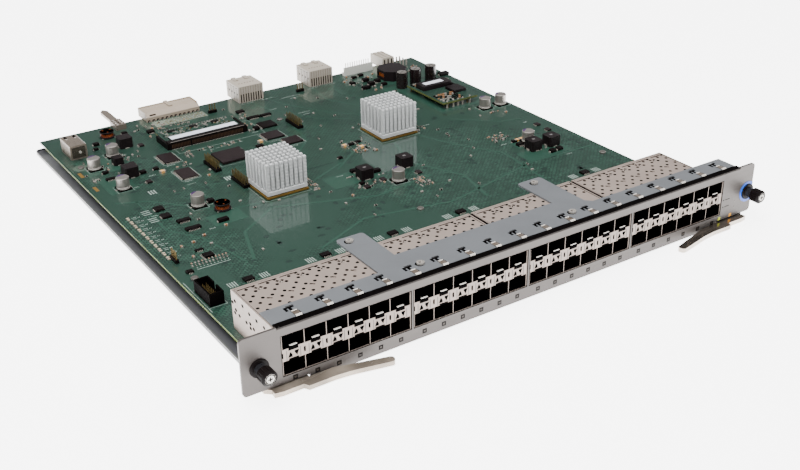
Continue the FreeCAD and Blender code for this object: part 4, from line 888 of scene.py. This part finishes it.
def make_rear_details():
    """Slits, ribs and contact rows of the rear connectors, with painted shade in the slits, holes and
    grooves, and the solder feet before them.
    """
    piece = Maker("connector_details", "dark_slot", "gold_pad", "pale", "tin", "residue")
    box = piece.box
    for stack in STACKS:
        # Slits and lines of painted shade on each stack connector's front, with tin feet below.
        for i in range(9):
            x = stack - 9.9 + i * 2.47
            box(x, STACK_FRONT - 0.01, 1.15, 0.12, 0.2, 8)
            box(x, STACK_FRONT - 1, 0.5, 2, 0, 0.4, 3)
            box(x, STACK_FRONT - 0.02, 0.2, 0.06, 8.4, 14.6)
        # Dark lines of painted shade between the ribs on the side.
        for i in range(4):
            for y, d, z0, z1 in ((3, 1.6, 7, 8.6), (4.6, 2.8, 12.8, 13.3), (4.6, 0.35, 1, 12)):
                box(stack - 12.21, STACK_FRONT + y + 5.4 * i, 0.08, d, z0, z1)
        # Holes of painted shade on the top.
        for i in range(6):
            box(stack - 7 + 2.8 * i, STACK_FRONT + 9, 1.6, 1.1, 14.98, 15.03, inset=0.1)
    # Tin feet, and slots of painted shade along the tan connector's front.
    for i in range(12):
        x = TAN_X - 24.75 + (i + 0.5) * 49.5 / 12
        box(x, TAN_FRONT - 0.6, 0.7, 2.2, 0, 0.5, 3)
        box(x, TAN_FRONT + 0.2, 1.8, 0.9, 0.02, 1.5)
    box(TAN_X, TAN_Y + 8.6, 48, 0.9, 7.58, 7.75, 1)
    box(TAN_X + 23.6, TAN_Y + 1, 0.9, 15.5, 7.5, 7.66, 1)
    # Contact holes of painted shade on the tan connector's top.
    for i in range(26):
        box(TAN_X - 23.4 + 1.87 * i, TAN_Y + 7.3, 0.5, 0.7, 7.55, 7.64)
    box(TAN_X, TAN_Y + 9.72, 48, 0.1, 6.4, 7.7, 1)
    # A dark block fills an opening in the tan connector's front as painted shade.
    box(TAN_X - 18.5, TAN_FRONT + 2, 6.5, 3, 3.6, 5.6, inset=0.5)
    for i in range(16):
        box(TAN_X - 21 + 2.8 * i, TAN_Y + 3, 1, 0.6, 7.59, 7.66, 2)
    box(TAN_X + 2, TAN_FRONT - 9, 48, 13, 0, 0.02, 4)
    rng = random.Random(5)
    for i in range(18):
        for j in range(4):
            x, y = TAN_X - 21 + 2.6 * i, TAN_FRONT - 13.5 + 3 * j
            piece.turned(x, y, [(0.55, 0.01), (0.5, 0.3), (0.1, 0.45)], 3 if rng.random() > 0.3 else 1, 8)
    # Slots of painted shade in the power connector's front.
    for i in (-1, 0, 1):
        box(361.42 + i * 4, 407.38, 1.3, 0.1, 1, 8.4)
    piece.done()


# ---- guides, memory module and converter
def make_guide_details():
    """Painted shade in the slots on top of the guide housing, over its front and between the ribs of the
    guide blade's holder, a dark seam on its side, and the ribs themselves.
    """
    piece = Maker("guide_details", "hole", "guide_dark", "bright", level=0)
    box = piece.box
    x0, y0, _, x1, y1, z = extent("guide_box")
    cx = (x0 + x1) / 2
    for side in (-1, 1):
        box(cx + side * 3.6, y1 - 3.2, 2.2, 4.6, z - 0.02, z + 0.04)
        box(cx + side * 3.6, y1 - 6.6, 1.4, 1.6, z - 0.02, z + 0.12, 2, inset=0.2)
    box(cx, y0 + 0.62, 10.6, 0.06, BOARD + 1.4, z - 1.8, 1)
    piece.bar_y(circle(cx + 1, BOARD + 6, 1.15, 1.15, 16), y0 - 0.4, y0 + 0.7, 2)
    box(x0 - 0.02, (y0 + y1) / 2, 0.05, 18, BOARD + 1.2, BOARD + 1.5)
    x0, y, _, x1, _, z = extent("guide_blade")
    x = (x0 + x1) / 2
    for k in range(4):
        box(x - 2.2, y + 2 + 3.6 * k, 1.6, 1.6, z - 0.1, z + 0.5, 2, inset=0.3)
        box(x + 2.2, y + 3.6 + 3.6 * k, 1.6, 1.6, z - 0.1, z + 0.5, 2, inset=0.3)
        box(x, y + 2.6 + 3.6 * k, 1.8, 0.8, z - 0.02, z + 0.06)
    piece.done()


def make_module_details():
    """Chips, blank label and gold contacts of the memory module, and the contact windows of its socket."""
    piece = Maker("module_details", "black", "label", "brass", "window", "smd_grey", "tin", level=0)
    box = piece.box
    x0, y0, _, x1, y1, z = extent("memory_module")
    rng = random.Random(14)
    for _ in range(90):
        kind = rng.choice((0, 4, 5, 2, 4, 5))
        box(x0 + rng.uniform(3, 64), y1 - rng.uniform(2.6, 16), 1.5, 0.9, z, z + 0.4, kind, inset=0.05)
    for i in range(3):
        box(x0 + 12 + i * 20, y1 - 6, 6.5, 4, z, z + 0.8, inset=0.15)
    box((x0 + x1) / 2 + 1, y0 + 8.6, 60, 6.8, z + 0.88, z + 0.98, 1)
    for i in range(4):
        box(x0 + 10 + i * 15.8, y0 + 9, 11.5, 7, z, z + 0.9, inset=0.15)
    for i in range(26):
        box(x0 + 3 + i * 2.45, y1 - 1.6, 1, 0.6, z, z + 0.4, 4)
        box(x0 + 3 + i * 2.45, y0 + 4.2, 0.9, 1.4, z, z + 0.03, 2)
    x0, y, _, x1, _, _ = extent("module_socket")
    for i in range(50):
        if i != 13:
            x = x0 + 4 + i * 1.29
            box(x, y - 0.01, 0.85, 0.1, BOARD + 1.1, BOARD + 4.4, 3)
            box(x, y - 0.5, 0.5, 1, BOARD, BOARD + 0.25, 5)
    box((x0 + x1) / 2, y + 0.9, x1 - x0 - 6, 0.5, BOARD + 5.99, BOARD + 6.04, 4)
    piece.done()


def make_converter_details():
    """The converter's blank label, small parts in rows, edges and front pins."""
    piece = Maker("converter_details", "label", "black", "smd_warm", "tin", "smd_grey", "board_edge", level=0)
    box = piece.box
    x0, y0, _, x1, y1, z = extent("converter_board")
    core = extent("converter_core")[5]
    box(356, 324.2, 20, 6, core - 0.02, core + 0.08)
    rng = random.Random(9)
    for i in range(9):
        for j in range(5):
            kind = rng.choice((1, 2, 3, 4, 1))
            w, d, h = rng.choice(((1.8, 1, 0.7), (2.2, 1.4, 0.9), (1.4, 2, 0.9)))
            box(x0 + 3.2 + 2.5 * i, y0 + 4 + 3.6 * j, w, d, z, z + h, kind, inset=0.08)
    for i in range(12):
        for j in range(2):
            x, y = x0 + 3 + 2.7 * i, y1 - 3 - 3.4 * j
            box(x, y, 1.9, 1.3, z, z + 0.9, rng.choice((1, 2, 3, 4)), inset=0.08)
    for k in range(3):
        box(x1 - 3.2, y0 + 26 + 4.6 * k, 3.6, 3.6, z, z + 1.8, 1, inset=0.2)
    box((x0 + x1) / 2, y0 - 0.03, x1 - x0, 0.06, z - 1.5, z - 0.1, 5)
    box(x0 - 0.03, (y0 + y1) / 2, 0.06, y1 - y0, z - 1.5, z - 0.1, 5)
    for x in (343, 350, 355, 360, 368):
        piece.turned(x, y0 + 1.4, [(0.95, BOARD), (0.95, z - 1.6)], 3, 12)
        piece.turned(x, y0 + 1.4, [(0.75, z), (0.7, z + 0.8), (0.3, z + 1)], 3, 12)
    piece.done()


# ---- front of the card
# How deep the painted highlight on the upper ports' lower lips runs, cage by cage.
LIP_HIGHLIGHT_DEPTHS = (1.1, 0.9, 0.5, 0.4)
PORT_LOW, PORT_HIGH = BOARD + 0.45 - PORT_MID, CAGE_TOP - 0.45 - PORT_MID
# Details of each port pair, most of them painted shade in slots and along edges: x from its middle, y, width,
# depth, two heights from PORT_MID, material.
PORT_MARKS = (
    (-7.12, 0.3, 0.95, 0.1, 2.3, 5.6, 0), (-7.12, 0.3, 0.5, 0.08, 3.2, 4.4, 1),
    (0.2, 1.2, 5.6, 1.7, 7.84, 9.1, 0), (0, 0.3, 6.2, 0.3, 6.3, 7.9, 0), (0, 0.36, 6.2, 0.2, -0.08, 0.98, 0),
    (-7.12, 0.62, 1.1, 0.5, 7.85, PORT_HIGH, 0), (-7.12, 0.62, 1.1, 0.5, PORT_LOW, 0, 0),
    (-7.12, 0.36, 0.34, 0.05, 7.85, PORT_HIGH, 1), (-7.12, 0.36, 0.34, 0.05, PORT_LOW, 0, 1),
    (-4.4, 0.32, 0.34, 0.12, 0.3, 6.6, 3), (4.4, 0.32, 0.34, 0.12, 0.3, 6.6, 3),
)
ARROWS = (((-3.5, 1.7), (-0.7, 1.7), (-2.1, 5.2)), ((0.7, 5.2), (3.5, 5.2), (2.1, 1.7)))


def make_port_fronts():
    """Painted shade lining the ports, filling the hollow between the rows and along the cages' front edges, a
    painted highlight on the lower lips of the upper row, and the marks between the rows.
    """
    piece = Maker("port_linings", "hole", "nickel", "lip", "divider_edge", level=PORT_MID)
    box = piece.box
    x0 = extent("cage_tubs")[0]
    low, high = BOARD - PORT_MID, CAGE_TOP - PORT_MID
    for cage in range(CAGES):
        a = x0 + cage * CAGE_PITCH
        # A dark block in the hollow between the rows is painted shade.
        box(a + 42.95, 22.8, 84.6, 42.6, 0.45, 7.35)
        # Dark lines down the sides and along the top and bottom of each cage's front are painted shade.
        for side_x in (a - 0.35, a + 86.25):
            box(side_x, -0.005, 0.45, 0.05, low + 0.2, high)
        for z in (low + 0.15, high - 0.1):
            box(a + 42.95, -0.005, 87, 0.05, z - 0.22, z + 0.22)
        lip = LIP_HIGHLIGHT_DEPTHS[cage]
        for column in range(COLUMNS):
            cx = a + 0.2 + (column + 0.5) * PORT_PITCH
            # Thin dark walls, floor, roof and back inside each port are painted shade.
            for z0, z1 in ((low + 0.42, -0.02), (7.82, high - 0.42)):
                for side in (-1, 1):
                    box(cx + side * 6.86, 24, 0.1, 46.5, z0, z1)
                box(cx, 24, 13.8, 46.5, z1 - 0.06, z1)
                box(cx, 24, 13.8, 46.5, z0, z0 + 0.06)
                box(cx, 44, 13.7, 0.4, z0, z1)
            # A bright strip on the lower lip of each upper port is a painted highlight.
            box(cx + 0.2, 0.3 + lip / 2, 4.7, lip, 9.12, 9.45, 2)
            for points in ARROWS:
                piece.bar_y([(cx + px, pz) for px, pz in points], 0.27, 0.34)
            for dx, *mark in PORT_MARKS:
                box(cx + dx, *mark)
    piece.done()


def make_panel_details():
    """Port marks under each port, the two status windows and plain bars beside the lamps."""
    piece = Maker("panel_marks", "print_grey", "lamp", "green_lamp", "amber_lamp", level=0)
    box = piece.box
    for port in range(CAGES * COLUMNS):
        cage, column = divmod(port, COLUMNS)
        x = 26.22 + CAGE_PITCH * cage + (column + 0.5) * PORT_PITCH
        z = {0: 6, 1: 5.1}.get(port, 4.3)
        box(x, -0.02, 3.1, 0.05, z - 1.5, z + 1.5)
        box(x, -0.03, 1.3, 0.07, z - 0.6, z + 0.6, 1)
        box(x, -0.04, 0.25, 0.08, z - 0.75, z + 0.75)
    box(376.62, -0.02, 2.4, 0.05, 4.6, 7, 2)
    box(387.82, -0.02, 2.4, 0.05, 4.6, 7, 3)
    for z in (19, 13.6):
        box(379, -0.015, 1, 0.03, z, z + 1)
        box(383, -0.015, 4.6, 0.03, z + 0.2, z + 0.8)
    piece.done()


def make_knob_faces():
    """Bright recessed faces of the two captive screws, with cross slots and a ring round each face painted
    dark as shade.
    """
    for side in ("left", "right"):
        x0, y, z0, x1, _, z1 = extent("captive_screw_" + side)
        cx, cz = (x0 + x1) / 2, (z0 + z1) / 2
        piece = Maker("screw_face_" + side, "steel", "hole", level=0)

        def ring(r, depth):
            return [(px, y + depth, pz) for px, pz in circle(cx, cz, r, r, 32)]

        # A ring of painted shade round the face.
        piece.hull(ring(3.1, -0.02), ring(3.2, 0.2), 1)
        piece.hull(ring(2.2, -0.08), ring(2.5, 0))
        # A cross slot of painted shade over the face.
        for w, h in ((2.8, 0.75), (0.75, 2.8)):
            piece.box(cx, y - 0.09, w, 0.06, cz - h / 2, cz + h / 2, 1)
        piece.done(body="spin_" + side)


# ---- stage, light and camera
FLOOR_GLOW = 4.5
WORLD_STRENGTH = 2
KEY_POWER = 44
FILL_POWER = 8
TOP_POWER = 34


def make_stage():
    bpy.ops.mesh.primitive_plane_add(size=30, location=(0, 0, -0.0002))
    floor = bpy.context.object
    floor.name = "floor"
    mat, tree, bsdf = new_material("floor_paper")
    feed(bsdf, {
        "Base Color": ramp(tree, noise(tree, place(tree), 2), (0.86,) * 3, (0.88,) * 3),
        "Roughness": 0.9, "Emission Color": (1, 1, 1, 1), "Emission Strength": FLOOR_GLOW,
    })
    floor.data.materials.append(mat)


def make_area(name, place_at, size, power):
    """A soft lamp that faces the origin and isn't mirrored."""
    data = bpy.data.lights.new(name, "AREA")
    data.shape = "RECTANGLE"
    data.size, data.size_y = size
    data.energy = power
    lamp = new_object(name, data)
    lamp.visible_glossy = False
    lamp.location = place_at
    lamp.rotation_euler = (-Vector(place_at)).to_track_quat("-Z", "Y").to_euler()


def make_light():
    """A world bright overhead and underfoot but dark at the horizon, and three soft lamps."""
    world = bpy.data.worlds.new("studio")
    bpy.context.scene.world = world
    world.use_nodes = True
    tree = world.node_tree
    coords = add(tree, "TexCoord", {}).outputs["Generated"]
    height = add(tree, "SeparateXYZ", {"Vector": coords}).outputs["Z"]
    sky = add(tree, "ValToRGB", {"Fac": height})
    stops = sky.color_ramp.elements
    stops[0].position, stops[0].color = 0.5, (0.02, 0.02, 0.02, 1)
    stops[1].position, stops[1].color = 0.92, (1, 1, 1, 1)
    for position, level in ((0, 1), (0.12, 1), (0.2, 0.02)):
        stops.new(position).color = (level, level, level, 1)
    feed(tree.nodes["Background"], {"Color": sky.outputs["Color"], "Strength": WORLD_STRENGTH})
    make_area("key", (-0.7, -0.5, 1.5), (1.2, 1.2), KEY_POWER)
    make_area("fill", (0.7, -1.3, 0.8), (1.2, 0.8), FILL_POWER)
    make_area("top", (0.2, 0.3, 1.9), (1.8, 1.8), TOP_POWER)


AZIMUTH = -33.2546
ELEVATION = 27.4603
ROLL = 0.904
LENS_MM = 50.07
EYE = (-0.40974, -0.67683, 0.36392)


def make_camera():
    data = bpy.data.cameras.new("camera")
    data.sensor_width = 36
    data.lens = LENS_MM
    camera = new_object("camera", data)
    turn = Matrix.Rotation(radians(AZIMUTH), 4, "Z")
    tilt = Matrix.Rotation(radians(90 - ELEVATION), 4, "X")
    roll = Matrix.Rotation(radians(-ROLL), 4, "Z")
    camera.matrix_world = Matrix.Translation(EYE) @ turn @ tilt @ roll
    bpy.context.scene.camera = camera


for make in (
    make_heat_sinks, make_spring_fingers, make_cage_details, make_packages, make_chip_parts, make_silk,
    make_copper, make_can_details, make_coil_details, make_headers, make_pins, make_rear_details,
    make_guide_details, make_module_details, make_converter_details, make_port_fronts, make_panel_details,
    make_knob_faces,
):
    make()
make_stage()
make_light()
make_camera()
